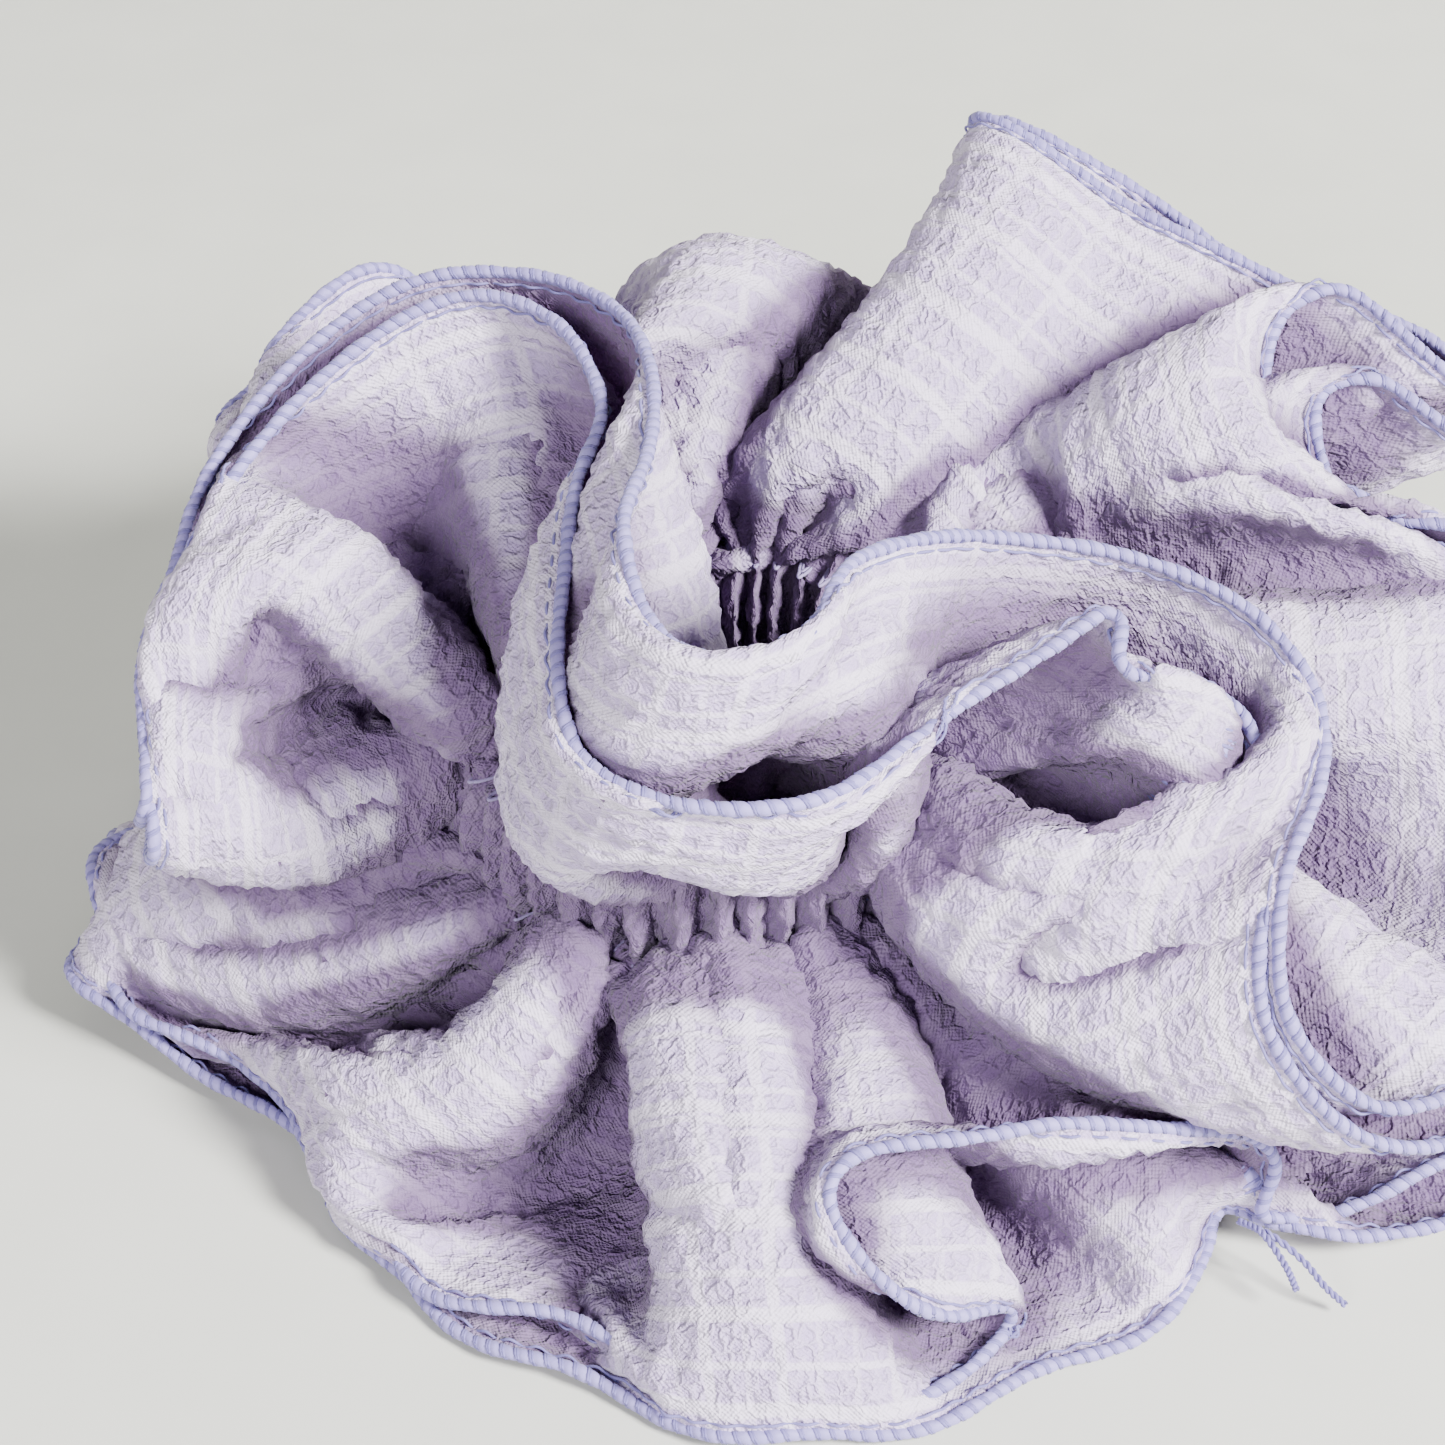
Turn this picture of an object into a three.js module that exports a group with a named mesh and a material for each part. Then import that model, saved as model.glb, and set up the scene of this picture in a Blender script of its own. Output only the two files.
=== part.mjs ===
// A ruffled hair scrunchie: two strips of crinkled cloth, laid one on the other and sewn along two
// rows to make a casing, gathered on a loop of flat elastic, with an overlocked edge all round.
// Millimetres, +Z up. The scrunchie lies on its lower ruffle, and the hair goes through it along Z.

import * as THREE from "three";

// Elastic loop, relaxed
const RING_RADIUS = 26;
const RING_HEIGHT = 31;
const ELASTIC_WIDTH = 7;
const ELASTIC_THICKNESS = 1.2;
const ELASTIC_LAP_ANGLE = 0.36;

// Cloth
const CLOTH = 0.7;
const CASING_HALF = 7;
const RUFFLE_WIDTH = 58;
const HALF_GAP_RUFFLE = 0.8;
const HALF_GAP_EDGE = 1.6;
const HALF_GAP_CASING = 2.4;

// Thread
const EDGING_RADIUS = 1.2;
const STITCH_RADIUS = 0.3;
const TAIL_RADIUS = 0.35;
const SEAM_WIDTH = 3;
const SEAM_THICKNESS = 0.7;

// Clear distance kept between pieces that touch on the real object
const CLEARANCE = 0.3;
const EDGING_CLEARANCE = 0.9;

// The ruffles' folds
const FOLDS = 8;
const UPPER_FOLD = 4.5;
const LOWER_FOLD = 9;
const FLAT_FROM = 0.66;
const CURL_SPAN = 0.62;

// Facets
const HALF_COLUMNS = 32;
const CASING_ROWS = 4;
const RUFFLE_ROWS = 5;
const SPLIT_ANGLE = 0.006;

// Where the free edges lie, every 30 degrees from +X round to the left as seen from above:
// distance from the ring's axis, and height of the upper edge above the surface.
const UPPER_EDGE = [
  [78, 44],
  [82, 55],
  [72, 70],
  [60, 72],
  [60, 70],
  [62, 66],
  [66, 50],
  [64, 42],
  [50, 62],
  [42, 68],
  [62, 52],
  [82, 36],
];
const LOWER_EDGE = [84, 80, 73, 68, 64, 64, 67, 70, 70, 70, 74, 84];

const QUARTER = Math.PI / 2;
const TURN = 2 * Math.PI;
const COLUMN_STEP = (Math.PI - 2 * SPLIT_ANGLE) / HALF_COLUMNS;

// Columns of the right half, counted from the split at -Y, that the closing seams follow
const SEAM_COLUMN = { outer: 7, inner: 9 };
const seamAngle = (layer) => SPLIT_ANGLE - QUARTER + SEAM_COLUMN[layer] * COLUMN_STEP;

const upperEdge = new THREE.CatmullRomCurve3(
  UPPER_EDGE.map(([reach, height]) => new THREE.Vector3(reach, height, 0)),
  true,
);
const lowerEdge = new THREE.CatmullRomCurve3(
  LOWER_EDGE.map((reach) => new THREE.Vector3(reach, 0, 0)),
  true,
);

const shareOfTurn = (angle) => (((angle % TURN) + TURN) % TURN) / TURN;
const around = (angle, radius, height) =>
  new THREE.Vector3(radius * Math.cos(angle), radius * Math.sin(angle), height);

// Half the distance between the two cloths: wide where the elastic runs, and wider at the free edge.
function halfGap(across) {
  const share = Math.abs(across);
  if (share < 1) {
    const bulge = Math.cos(share * QUARTER) ** 0.5;
    return THREE.MathUtils.lerp(HALF_GAP_RUFFLE, HALF_GAP_CASING, bulge);
  }
  const opening = THREE.MathUtils.smoothstep(share - 1, 0, FLAT_FROM);
  return THREE.MathUtils.lerp(HALF_GAP_RUFFLE, HALF_GAP_EDGE, opening);
}

// The surface midway between the two cloths. across is -1 to 1 over the casing, and goes on to
// -2 at the lower free edge and 2 at the upper one.
function middle(angle, across) {
  if (Math.abs(across) <= 1) {
    return around(angle, RING_RADIUS, RING_HEIGHT + across * CASING_HALF);
  }
  const share = Math.abs(across) - 1;
  return across > 0 ? upperRuffle(angle, share) : lowerRuffle(angle, share);
}

function upperRuffle(angle, share) {
  const edge = upperEdge.getPoint(shareOfTurn(angle));
  const foot = new THREE.Vector2(RING_RADIUS, RING_HEIGHT + CASING_HALF);
  const crown = new THREE.Vector2(
    THREE.MathUtils.lerp(RING_RADIUS, edge.x, 0.1),
    foot.y + RUFFLE_WIDTH / 2,
  );
  const rim = new THREE.Vector2(edge.x, edge.y);
  const at = new THREE.QuadraticBezierCurve(foot, crown, rim).getPoint(share);
  const fold = UPPER_FOLD * share ** 2 * Math.cos(FOLDS * angle);
  return around(angle, at.x - fold / 2, at.y + fold);
}

function lowerRuffle(angle, share) {
  const reach = lowerEdge.getPoint(shareOfTurn(angle)).x;
  const floor = HALF_GAP_EDGE + CLOTH;
  const drop = RING_HEIGHT - CASING_HALF - floor;
  const curl = Math.min(share / CURL_SPAN, 1) * QUARTER;
  const flat = Math.max(share - CURL_SPAN, 0) / (1 - CURL_SPAN);
  const bend = RING_RADIUS + (reach - RING_RADIUS) * 0.5 * (1 - Math.cos(curl));
  const radius = bend + (reach - RING_RADIUS) * 0.5 * flat;
  const crest = Math.max(Math.cos(FOLDS * angle), 0) ** 2;
  const lift = LOWER_FOLD * crest * Math.sin(Math.min(share, 0.9) * QUARTER) ** 4;
  return around(angle, radius, floor + drop * (1 - Math.sin(curl)) + lift);
}

// A point off the middle surface: positive distances lie on the outer cloth's side.
function offset(angle, across, distance) {
  const step = 1e-3;
  const low = Math.max(across - step, -2);
  const high = Math.min(across + step, 2);
  const along = middle(angle + step, across).sub(middle(angle - step, across));
  const up = middle(angle, high).sub(middle(angle, low));
  return middle(angle, across).addScaledVector(along.cross(up).normalize(), distance);
}

// Stations from the lower free edge, over the casing, to the upper one.
function stations() {
  const rows = [];
  for (let i = 0; i <= RUFFLE_ROWS; i++) rows.push(-2 + i / RUFFLE_ROWS);
  for (let i = 1; i < CASING_ROWS; i++) rows.push(-1 + (2 * i) / CASING_ROWS);
  for (let i = 0; i <= RUFFLE_ROWS; i++) rows.push(1 + i / RUFFLE_ROWS);
  return rows;
}

// A closed solid between two grids of points, which face away from each other.
function solidBetween(front, back) {
  const rows = front.length;
  const columns = front[0].length;
  const points = [...front.flat(), ...back.flat()];
  const at = (side, row, column) => side * rows * columns + row * columns + column;
  const faces = [];
  const quad = (a, b, c, d) => faces.push(a, b, c, a, c, d);
  for (let r = 0; r + 1 < rows; r++) {
    for (let c = 0; c + 1 < columns; c++) {
      quad(at(0, r, c), at(0, r, c + 1), at(0, r + 1, c + 1), at(0, r + 1, c));
      quad(at(1, r, c), at(1, r + 1, c), at(1, r + 1, c + 1), at(1, r, c + 1));
    }
    quad(at(0, r, 0), at(0, r + 1, 0), at(1, r + 1, 0), at(1, r, 0));
    const end = columns - 1;
    quad(at(0, r, end), at(1, r, end), at(1, r + 1, end), at(0, r + 1, end));
  }
  for (let c = 0; c + 1 < columns; c++) {
    const top = rows - 1;
    quad(at(0, 0, c), at(1, 0, c), at(1, 0, c + 1), at(0, 0, c + 1));
    quad(at(0, top, c), at(0, top, c + 1), at(1, top, c + 1), at(1, top, c));
  }
  const geometry = new THREE.BufferGeometry().setFromPoints(points);
  geometry.setIndex(faces);
  geometry.computeVertexNormals();
  return geometry;
}

function anglesBetween(from, to, steps) {
  return Array.from({ length: steps + 1 }, (_, i) => from + ((to - from) * i) / steps);
}

// One half of one cloth. side is 1 for the outer cloth and -1 for the inner one.
function cloth(side, from, to) {
  const angles = anglesBetween(from, to, HALF_COLUMNS);
  const skin = (inner) =>
    stations().map((across) =>
      angles.map((angle) => offset(angle, across, side * (halfGap(across) + inner))),
    );
  return side > 0 ? solidBetween(skin(CLOTH), skin(0)) : solidBetween(skin(0), skin(CLOTH));
}

// The overlocked allowance of the seam that closes one cloth into a ring, on its hidden side.
function closingSeam(side, angle) {
  const skin = (depth) =>
    stations().map((across) => {
      const distance = side * (halfGap(across) - 2 * CLEARANCE - depth);
      const [before, at, after] = [-1, 0, 1].map((column) =>
        offset(angle + column * COLUMN_STEP, across, distance),
      );
      return [
        at.clone().lerp(before, SEAM_WIDTH / 2 / at.distanceTo(before)),
        at,
        at.clone().lerp(after, SEAM_WIDTH / 2 / at.distanceTo(after)),
      ];
    });
  return side > 0
    ? solidBetween(skin(0), skin(SEAM_THICKNESS))
    : solidBetween(skin(SEAM_THICKNESS), skin(0));
}

// The overlock thread round a free edge. end is 1 for the upper edge and -1 for the lower one.
function edging(side, end) {
  const points = anglesBetween(0, TURN, 2 * HALF_COLUMNS).slice(0, -1).map((angle) => {
    const distance = side * (HALF_GAP_EDGE + CLOTH / 2);
    const rim = offset(angle, 2 * end, distance);
    const inward = offset(angle, 1.96 * end, distance);
    rim.addScaledVector(rim.clone().sub(inward).normalize(), EDGING_RADIUS + EDGING_CLEARANCE);
    rim.z = Math.max(rim.z, EDGING_RADIUS + CLEARANCE);
    return rim;
  });
  const path = new THREE.CatmullRomCurve3(points, true);
  return new THREE.TubeGeometry(path, 2 * HALF_COLUMNS, EDGING_RADIUS, 6, true);
}

// One thread of a row of stitches along the casing, lying on the face of a cloth.
function stitchRow(side, end) {
  const outside = halfGap(1) + CLOTH + CLEARANCE + STITCH_RADIUS;
  const across = 0.96 * end;
  const points = anglesBetween(0, TURN, 24).slice(0, -1).map((angle) =>
    offset(angle, across, side * (outside + halfGap(across) - halfGap(1))),
  );
  const path = new THREE.CatmullRomCurve3(points, true);
  return new THREE.TubeGeometry(path, 48, STITCH_RADIUS, 4, true);
}

// A flat band once round the ring, whose two ends lap over each other.
function elasticBand() {
  const lap = ELASTIC_LAP_ANGLE;
  const angles = anglesBetween(Math.PI - lap, Math.PI + TURN + lap, 54);
  const shift = (ELASTIC_THICKNESS + CLEARANCE) / 2;
  const face = (depth) =>
    [-0.5, 0.5].map((edge) =>
      angles.map((angle) => {
        const near = THREE.MathUtils.smoothstep(angle, Math.PI - lap, Math.PI + 2 * lap);
        const far = THREE.MathUtils.smoothstep(angle, Math.PI + TURN - 2 * lap, Math.PI + TURN + lap);
        const radius = RING_RADIUS + depth + shift * (far + near - 1);
        return around(angle, radius, RING_HEIGHT + edge * ELASTIC_WIDTH);
      }),
    );
  return solidBetween(face(ELASTIC_THICKNESS / 2), face(-ELASTIC_THICKNESS / 2));
}

// The block of stitches that holds the lapped ends of the elastic together.
function elasticTack() {
  const near = RING_RADIUS + CLEARANCE / 2 + ELASTIC_THICKNESS + CLEARANCE;
  const angles = anglesBetween(Math.PI - 0.1, Math.PI + 0.1, 4);
  const face = (radius) =>
    [-0.35, 0.35].map((edge) =>
      angles.map((angle) => around(angle, radius, RING_HEIGHT + edge * ELASTIC_WIDTH)),
    );
  return solidBetween(face(near + CLEARANCE), face(near));
}

// A loose thread end that hangs off the edging where a closing seam meets it.
function threadTail(angle, lean, length) {
  const start = offset(angle, -2, HALF_GAP_EDGE + CLOTH / 2);
  const out = around(angle, 1, 0);
  const aside = around(angle + QUARTER, 1, 0);
  const step = (share) =>
    start
      .clone()
      .addScaledVector(out, 2 * EDGING_RADIUS + EDGING_CLEARANCE + CLEARANCE + length * share)
      .addScaledVector(aside, lean * length * share ** 2);
  const path = new THREE.CatmullRomCurve3([0, 0.35, 0.7, 1].map(step));
  const section = new THREE.Shape().absarc(0, 0, TAIL_RADIUS, 0, TURN);
  return new THREE.ExtrudeGeometry(section, { steps: 8, extrudePath: path, curveSegments: 6 });
}

const clothMaterial = () =>
  new THREE.MeshStandardMaterial({ color: 0xdcd6ee, roughness: 0.9, side: THREE.DoubleSide });
const threadMaterial = () => new THREE.MeshStandardMaterial({ color: 0xb4b0dc, roughness: 0.7 });
const elasticMaterial = () => new THREE.MeshStandardMaterial({ color: 0xf0eff2, roughness: 0.8 });

const scrunchie = new THREE.Group();

function add(name, geometry, material) {
  const mesh = new THREE.Mesh(geometry, material);
  mesh.name = name;
  scrunchie.add(mesh);
}

const halves = {
  left: [QUARTER + SPLIT_ANGLE, 3 * QUARTER - SPLIT_ANGLE],
  right: [-QUARTER + SPLIT_ANGLE, QUARTER - SPLIT_ANGLE],
};
for (const [layer, side] of [["outer", 1], ["inner", -1]]) {
  for (const [half, [from, to]] of Object.entries(halves)) {
    add(`${layer}_cloth_${half}`, cloth(side, from, to), clothMaterial());
  }
  add(`${layer}_closing_seam`, closingSeam(side, seamAngle(layer)), threadMaterial());
  for (const [place, end] of [["upper", 1], ["lower", -1]]) {
    add(`${layer}_${place}_edging`, edging(side, end), threadMaterial());
  }
}
for (const [place, end] of [["upper", 1], ["lower", -1]]) {
  add(`${place}_casing_needle_thread`, stitchRow(1, end), threadMaterial());
  add(`${place}_casing_bobbin_thread`, stitchRow(-1, end), threadMaterial());
}
add("elastic_band", elasticBand(), elasticMaterial());
add("elastic_tack", elasticTack(), threadMaterial());
add("seam_thread_tail_long", threadTail(seamAngle("outer"), -0.5, 9), threadMaterial());
add("seam_thread_tail_short", threadTail(seamAngle("outer") + 0.03, 0.6, 6), threadMaterial());

// The origin is under the middle of the whole scrunchie, on the surface that it lies on.
const box = new THREE.Box3().setFromObject(scrunchie, true);
const centre = box.getCenter(new THREE.Vector3());
scrunchie.position.set(-centre.x, -centre.y, -box.min.z);

export default scrunchie;
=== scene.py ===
"""Scrunchie: two gathered strips of crinkled lavender cotton on an elastic ring.

Listed rims and guided folds give the ruffles their shape, and a small cloth solver settles the
cloth between them.
Lengths are in millimetres around the ring's own axis (x right, y back, z up) until a mesh is made.
"""
import math

import bpy
import numpy as np
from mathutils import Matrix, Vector


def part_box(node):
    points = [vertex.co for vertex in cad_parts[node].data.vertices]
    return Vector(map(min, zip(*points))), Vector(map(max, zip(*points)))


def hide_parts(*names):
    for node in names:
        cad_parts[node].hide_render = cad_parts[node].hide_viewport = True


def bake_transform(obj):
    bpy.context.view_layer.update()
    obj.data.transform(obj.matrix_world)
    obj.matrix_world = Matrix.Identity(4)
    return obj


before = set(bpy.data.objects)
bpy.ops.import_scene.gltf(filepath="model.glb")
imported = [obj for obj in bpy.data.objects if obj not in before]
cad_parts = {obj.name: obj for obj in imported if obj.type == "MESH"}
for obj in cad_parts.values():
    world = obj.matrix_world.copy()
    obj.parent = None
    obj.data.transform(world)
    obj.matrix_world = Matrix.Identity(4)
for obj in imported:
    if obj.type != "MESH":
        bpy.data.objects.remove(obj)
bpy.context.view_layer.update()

# ---- sizes, mm ----
STRIP_LENGTH = 700.0
RUFFLE_WIDTH = 58.0
CASING_WIDTH = 14.0
RING_RADIUS = 26.0
UPPER_SEAM = 37.7
LOWER_SEAM = 24.3
PLEATS = 51
PLEAT_DEPTH = 3.1
CASING_BULGE = 3.4
GATHER_SOFTNESS = 0.55
GATHER_UNEVEN = 0.3
ELASTIC_ROOM = 2.0
ROOM_EASE = 0.25
CLOTH_THICKNESS = 0.3
FINE_STEP = 0.95
ROPE_RADIUS = 0.64
STITCH_PITCH = 1.5
THREAD_RADIUS = 0.17
SEAM_OFFSET = 0.35
CASING_STITCHES = 240
TAIL_RADIUS = 0.34
ELASTIC_HALF_WIDTH = 3.45
ELASTIC_HALF_THICK = 0.55
YARN_PITCH = 0.5
FLOOR_GAP = 0.4
# reach of the enclosure that sets the cloth's painted shade
PAINTED_SHADE_REACH = 17.0

# ---- shares, counts and angles ----
ELASTIC_LAP = 0.40
UPPER_WAVES = 31
LOWER_WAVES = 23
# painted shade given to the casing between the seams, inside and outside
INNER_CASING_PAINTED_SHADE = 0.95
OUTER_CASING_PAINTED_SHADE = 0.62

# ---- the view: degrees, and metres in the frame ----
CAMERA_ELEVATION = 37
CAMERA_DISTANCE = 0.330
CAMERA_LENS = 78

# ---- simulation ----
COLUMNS = 352
ROWS = 29
STEPS = 420
DAMPING = 0.86
GRAVITY = 0.0045
STRETCH = 0.9
SHEAR = 0.25
BEND_NEAR = 0.12
BEND_FAR = 0.06
BEND_BROAD = 0.05
RIM_HOLD = 0.6
CONTACT_REACH = 3.2
OWN_CLOTH_REACH = 4.5
CONTACT_EVERY = 10
PATCH_COLUMNS = 7
PATCH_ROWS = 6
PATCH_SPREAD = 18.0

# ---- rims of the four ruffles, from the front of the ring going left ----
UPPER_INNER = [
    (2, -40, 70), (-3, -39, 70), (-7, -34, 71), (-9, -24, 74), (-7, -11, 74), (-7, 2, 75),
    (-11, 14, 75), (-20, 21, 75), (-32, 23, 73), (-44, 18, 67), (-52, 7, 60), (-56, -5, 54),
    (-57, -16, 48), (-56, -26, 42), (-58, -16, 36), (-57, 2, 40), (-54, 20, 48), (-49, 36, 57),
    (-40, 46, 62), (-31, 50, 55), (-24, 55, 49), (-14, 58, 46), (-2, 60, 51), (9, 60, 50),
    (20, 64, 45), (31, 66, 59), (29, 58, 74.5), (45, 48.5, 68.5), (63, 40, 63), (76, 39, 58),
    (84, 32, 55), (78, 26, 60), (68, 33, 66), (60, 31, 64), (58, 24, 58), (61, 17, 53),
    (69, 14, 51), (79, 11, 49), (84, 0, 42), (84, -14, 34), (82, -30, 27), (74, -44, 25),
    (66, -50, 26), (59, -51, 28), (52, -48, 36), (52, -42, 44), (56, -32, 49), (57, -22, 53),
    (51, -15, 58), (40, -12, 62), (28, -13, 65), (20, -18, 68.5), (12, -26, 71), (8, -35, 70),
]
UPPER_OUTER = [
    (2, -46, 58), (-7, -44, 58), (-13, -39, 59), (-15, -32, 63), (-15, -20, 65), (-14, -8, 68),
    (-12, 2, 71), (-17, 13, 74), (-27, 18, 74), (-39, 14, 69), (-49, 5, 61), (-55, -6, 54),
    (-57, -18, 46), (-55, -28, 39), (-58, -18, 33), (-59, 2, 36), (-57, 20, 43), (-52, 36, 52),
    (-43, 48, 58), (-34, 54, 51), (-26, 60, 45), (-15, 62, 41), (-2, 64, 46), (9, 64, 45),
    (21, 68, 41), (34, 69, 56), (31, 60, 73), (47, 52, 68), (64, 45, 59), (76, 43, 54),
    (84, 36, 50), (79, 22, 55), (71, 26, 59), (65, 26, 58), (63, 21, 54), (66, 15, 49),
    (73, 12, 47), (80, 8, 45), (84, -2, 38), (84, -16, 30), (82, -32, 23), (74, -46, 21),
    (66, -52, 22), (58, -52, 25), (51, -49, 34), (50, -43, 42), (52, -33, 47), (50, -26, 52),
    (44, -25, 57), (37, -29, 61), (37, -24, 64), (30, -28, 62), (21, -34, 60), (11, -43, 58),
]
LOWER_INNER = [
    (4, -67, 3), (-7, -62, 4), (-16, -57, 4), (-28, -53, 3), (-34, -46, 3), (-39, -39, 3),
    (-44, -29, 3), (-51, -22, 4), (-62, -16, 7), (-68, -9, 10), (-68, 0, 12), (-60, 12, 14),
    (-58, 22, 8), (-60, 33, 4), (-56, 40, 10), (-52, 38, 16), (-50, 48, 8), (-48, 60, 3),
    (-38, 62, 10), (-28, 56, 16), (-20, 62, 8), (-14, 70, 3), (-2, 70, 9), (8, 62, 15),
    (16, 64, 8), (24, 70, 3), (34, 66, 10), (42, 56, 15), (50, 56, 8), (60, 56, 3),
    (66, 46, 9), (66, 36, 14), (74, 30, 7), (82, 24, 3), (84, 12, 9), (80, 2, 14),
    (84, -8, 8), (86, -20, 3), (82, -32, 6), (73, -40, 8), (62, -43, 5), (54, -45, 6),
    (55, -44, 11), (52, -44, 15), (46, -46, 19), (37, -49, 22), (27, -51, 23), (18, -53, 24),
    (12, -55, 23), (10, -58, 20), (14, -61, 15), (21, -62, 10), (27, -58, 6), (28, -57, 3),
    (22, -63, 3), (13, -68, 3),
]
LOWER_OUTER = [
    (4, -70, 1.5), (-5, -67, 1.5), (-16, -61, 1.5), (-27, -55, 1.5), (-33, -48, 1.5), (-38, -41, 1.5),
    (-43, -31, 1.5), (-50, -24, 2), (-61, -18, 4), (-68, -11, 6), (-70, 0, 7), (-64, 12, 8),
    (-59, 24, 4), (-61, 35, 1.5), (-57, 42, 6), (-52, 42, 11), (-52, 52, 5), (-50, 62, 1.5),
    (-39, 64, 7), (-29, 60, 11), (-21, 65, 5), (-14, 71, 1.5), (-2, 71, 6), (8, 65, 10),
    (16, 67, 5), (24, 71, 1.5), (35, 68, 6), (43, 59, 10), (51, 58, 5), (61, 58, 1.5),
    (67, 48, 6), (68, 38, 10), (75, 32, 4), (83, 26, 1.5), (86, 12, 6), (82, 2, 9),
    (86, -8, 5), (86, -22, 1.5), (83, -34, 4), (74, -43, 4), (64, -46, 3), (55, -44, 4),
    (50, -43, 5), (48, -49, 3), (42, -55, 1.5), (34, -60, 1.5), (25, -65, 1.5), (15, -69, 1.5),
]

# ---- each ruffle between its seam and its rim: (rim point, bow, width of cloth) ----
# a bow of 1 is a full belly outward, and less width than the strip has means it is drawn up in gathers
UPPER_BOW = [
    (0, 0.0, 46), (3, 0.5, 50), (8, -0.2, 57), (9.2, 0.0, 50), (10.4, 0.2, 43), (12, 0.2, 40),
    (13.5, 0.2, 41), (19, -0.2, 50),
    (21, -1.0, 58), (23, -1.0, 58), (24, -0.5, 56), (26, 0.1, 58), (30, 0.2, 58), (36, 0.7, 58),
    (42, 0.9, 58), (46, 0.8, 51), (48, 0.5, 46), (50, 0.4, 44), (52, 0.2, 44),
]
UPPER_OUTER_BOW = [(0, 0.0, 32), (2, 0.1, 38)] + UPPER_BOW[2:-1] + [(52, 0.2, 35)]
LOWER_BOW = [
    (0, 0.4, 52), (3, 0.2, 48), (6, 0.0, 46), (8, 0.0, 50), (9.4, 0.1, 53), (11, 0.3, 56),
    (14, 0.3, 58), (30, 0.3, 58), (40, 0.5, 58), (44, -0.4, 50), (50, -0.3, 44), (53, 0.4, 50),
]
# the outer rim has the first seven only, and goes evenly back from point 14 to its start
LOWER_OUTER_BOW = LOWER_BOW[:7]

# ---- places where the cloth is guided: (rim point, share of the way from seam to rim, place) ----
UPPER_ROLL = [
    (0.0, 0.90, (2, -44.5, 75)),
    (1.0, 0.90, (-6, -43.5, 75)),
    (52.8, 0.90, (11, -35, 75)),
    (53.4, 0.90, (7, -41, 75)),
]
OUTER_ROLL = [
    (0.0, 0.88, (2, -51, 63)),
    (1.0, 0.88, (-8, -49.5, 63)),
    (2.0, 0.88, (-15, -42.5, 63)),
    (52.0, 0.88, (23, -38.5, 64)),
    (53.0, 0.88, (12, -48, 63)),
    (0.0, 0.46, (1, -35, 50)),
    (1.6, 0.46, (-12, -33, 50)),
    (52.6, 0.46, (15, -31, 50)),
    (0.0, 0.70, (1, -46, 58)),
]
UPPER_GUIDES = [
    (22.4, 0.66, (3, 47, 69)),
    (21.2, 0.64, (-11, 43, 57)),
    (23.3, 0.62, (10, 47, 64)),
    (10.4, 0.62, (-40, -3, 57)),
    (12.6, 0.52, (-43, -13, 41)),
    (48.8, 0.32, (26, -21, 41)),
    (50.4, 0.52, (20, -33, 43)),
    (48.2, 0.50, (33, -35, 46)),
    (46.8, 0.60, (37, -46, 41)),
    (24.4, 0.45, (13, 40, 42)),
    (29.3, 0.50, (40, 38, 55)),
    (31.2, 0.30, (24, 33, 38)),
    (31.4, 0.55, (38, 40, 42)),
    (35.0, 0.60, (48, 16, 52)),
]
LOWER_GUIDES = [
    (10.9, 0.25, (-32, -13, 29)),
    (10.9, 0.52, (-45, -10, 27)),
    (10.9, 0.76, (-56, -4, 21)),
    (10.1, 0.35, (-31, -15, 16)),
    (10.0, 0.62, (-46, -10, 14)),
    (9.1, 0.30, (-30, -25, 25)),
    (9.1, 0.55, (-43, -20, 20)),
    (9.1, 0.80, (-56, -12, 15)),
    (7.9, 0.35, (-27, -22, 10)),
    (7.8, 0.64, (-43, -19, 9)),
    (6.2, 0.42, (-26, -35, 16)),
    (6.2, 0.74, (-38, -30, 11)),
    (4.4, 0.35, (-17, -33, 11)),
    (0.0, 0.25, (-1, -36, 31)),
    (0.5, 0.55, (-4, -53, 21)),
    (53.6, 0.35, (11, -31, 16)),
]
GUIDED = 0.85
GUIDE_HOLD = 0.12

# ---- broad folds: (distance round the strip, half width, height, share of the way to the rim) ----
UPPER_FOLDS = [
    (205, 16, -4, 0.6), (240, 16, 6, 0.6), (275, 15, -6, 0.6),
    (312, 20, -7, 0.7), (345, 12, 7, 0.55), (372, 12, -5, 0.5), (400, 14, 5, 0.6), (432, 14, -6, 0.6),
    (470, 15, 6, 0.6), (505, 15, -6, 0.6), (540, 15, 5, 0.5), (575, 15, -4, 0.5), (610, 20, 6, 0.8),
    (652, 14, -6, 0.6), (690, 12, 3, 0.5), (20, 14, 4, 0.5), (55, 14, -4, 0.5),
]
LOWER_FOLDS = [
    (2, 22, 8, 0.95), (44, 9, -8, 0.8), (64, 12, 6, 0.9), (81, 8, -8, 0.85), (94, 7, 7, 0.95),
    (104, 5, -6, 0.9), (114, 8, 8, 0.95), (132, 9, -7, 0.75), (160, 13, 8, 0.85), (190, 12, -9, 0.7),
    (222, 14, 8, 0.7), (254, 14, -8, 0.7),
    (287, 14, 8, 0.7), (320, 14, -8, 0.7), (352, 14, 8, 0.7), (384, 14, -8, 0.7), (417, 14, 8, 0.7),
    (450, 14, -8, 0.7), (482, 14, 8, 0.7), (514, 14, -8, 0.7), (546, 13, 7, 0.7), (576, 13, -8, 0.7),
    (606, 13, 8, 0.7), (634, 12, -7, 0.7), (667, 12, -11, 0.75),
]


def ring_axis():
    """The ring's own axis in the shared frame, in metres, from the stitched casing."""
    low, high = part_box("upper_casing_needle_thread")
    return (low[0] + high[0]) / 2, (low[1] + high[1]) / 2


AXIS_X, AXIS_Y = ring_axis()


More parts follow.
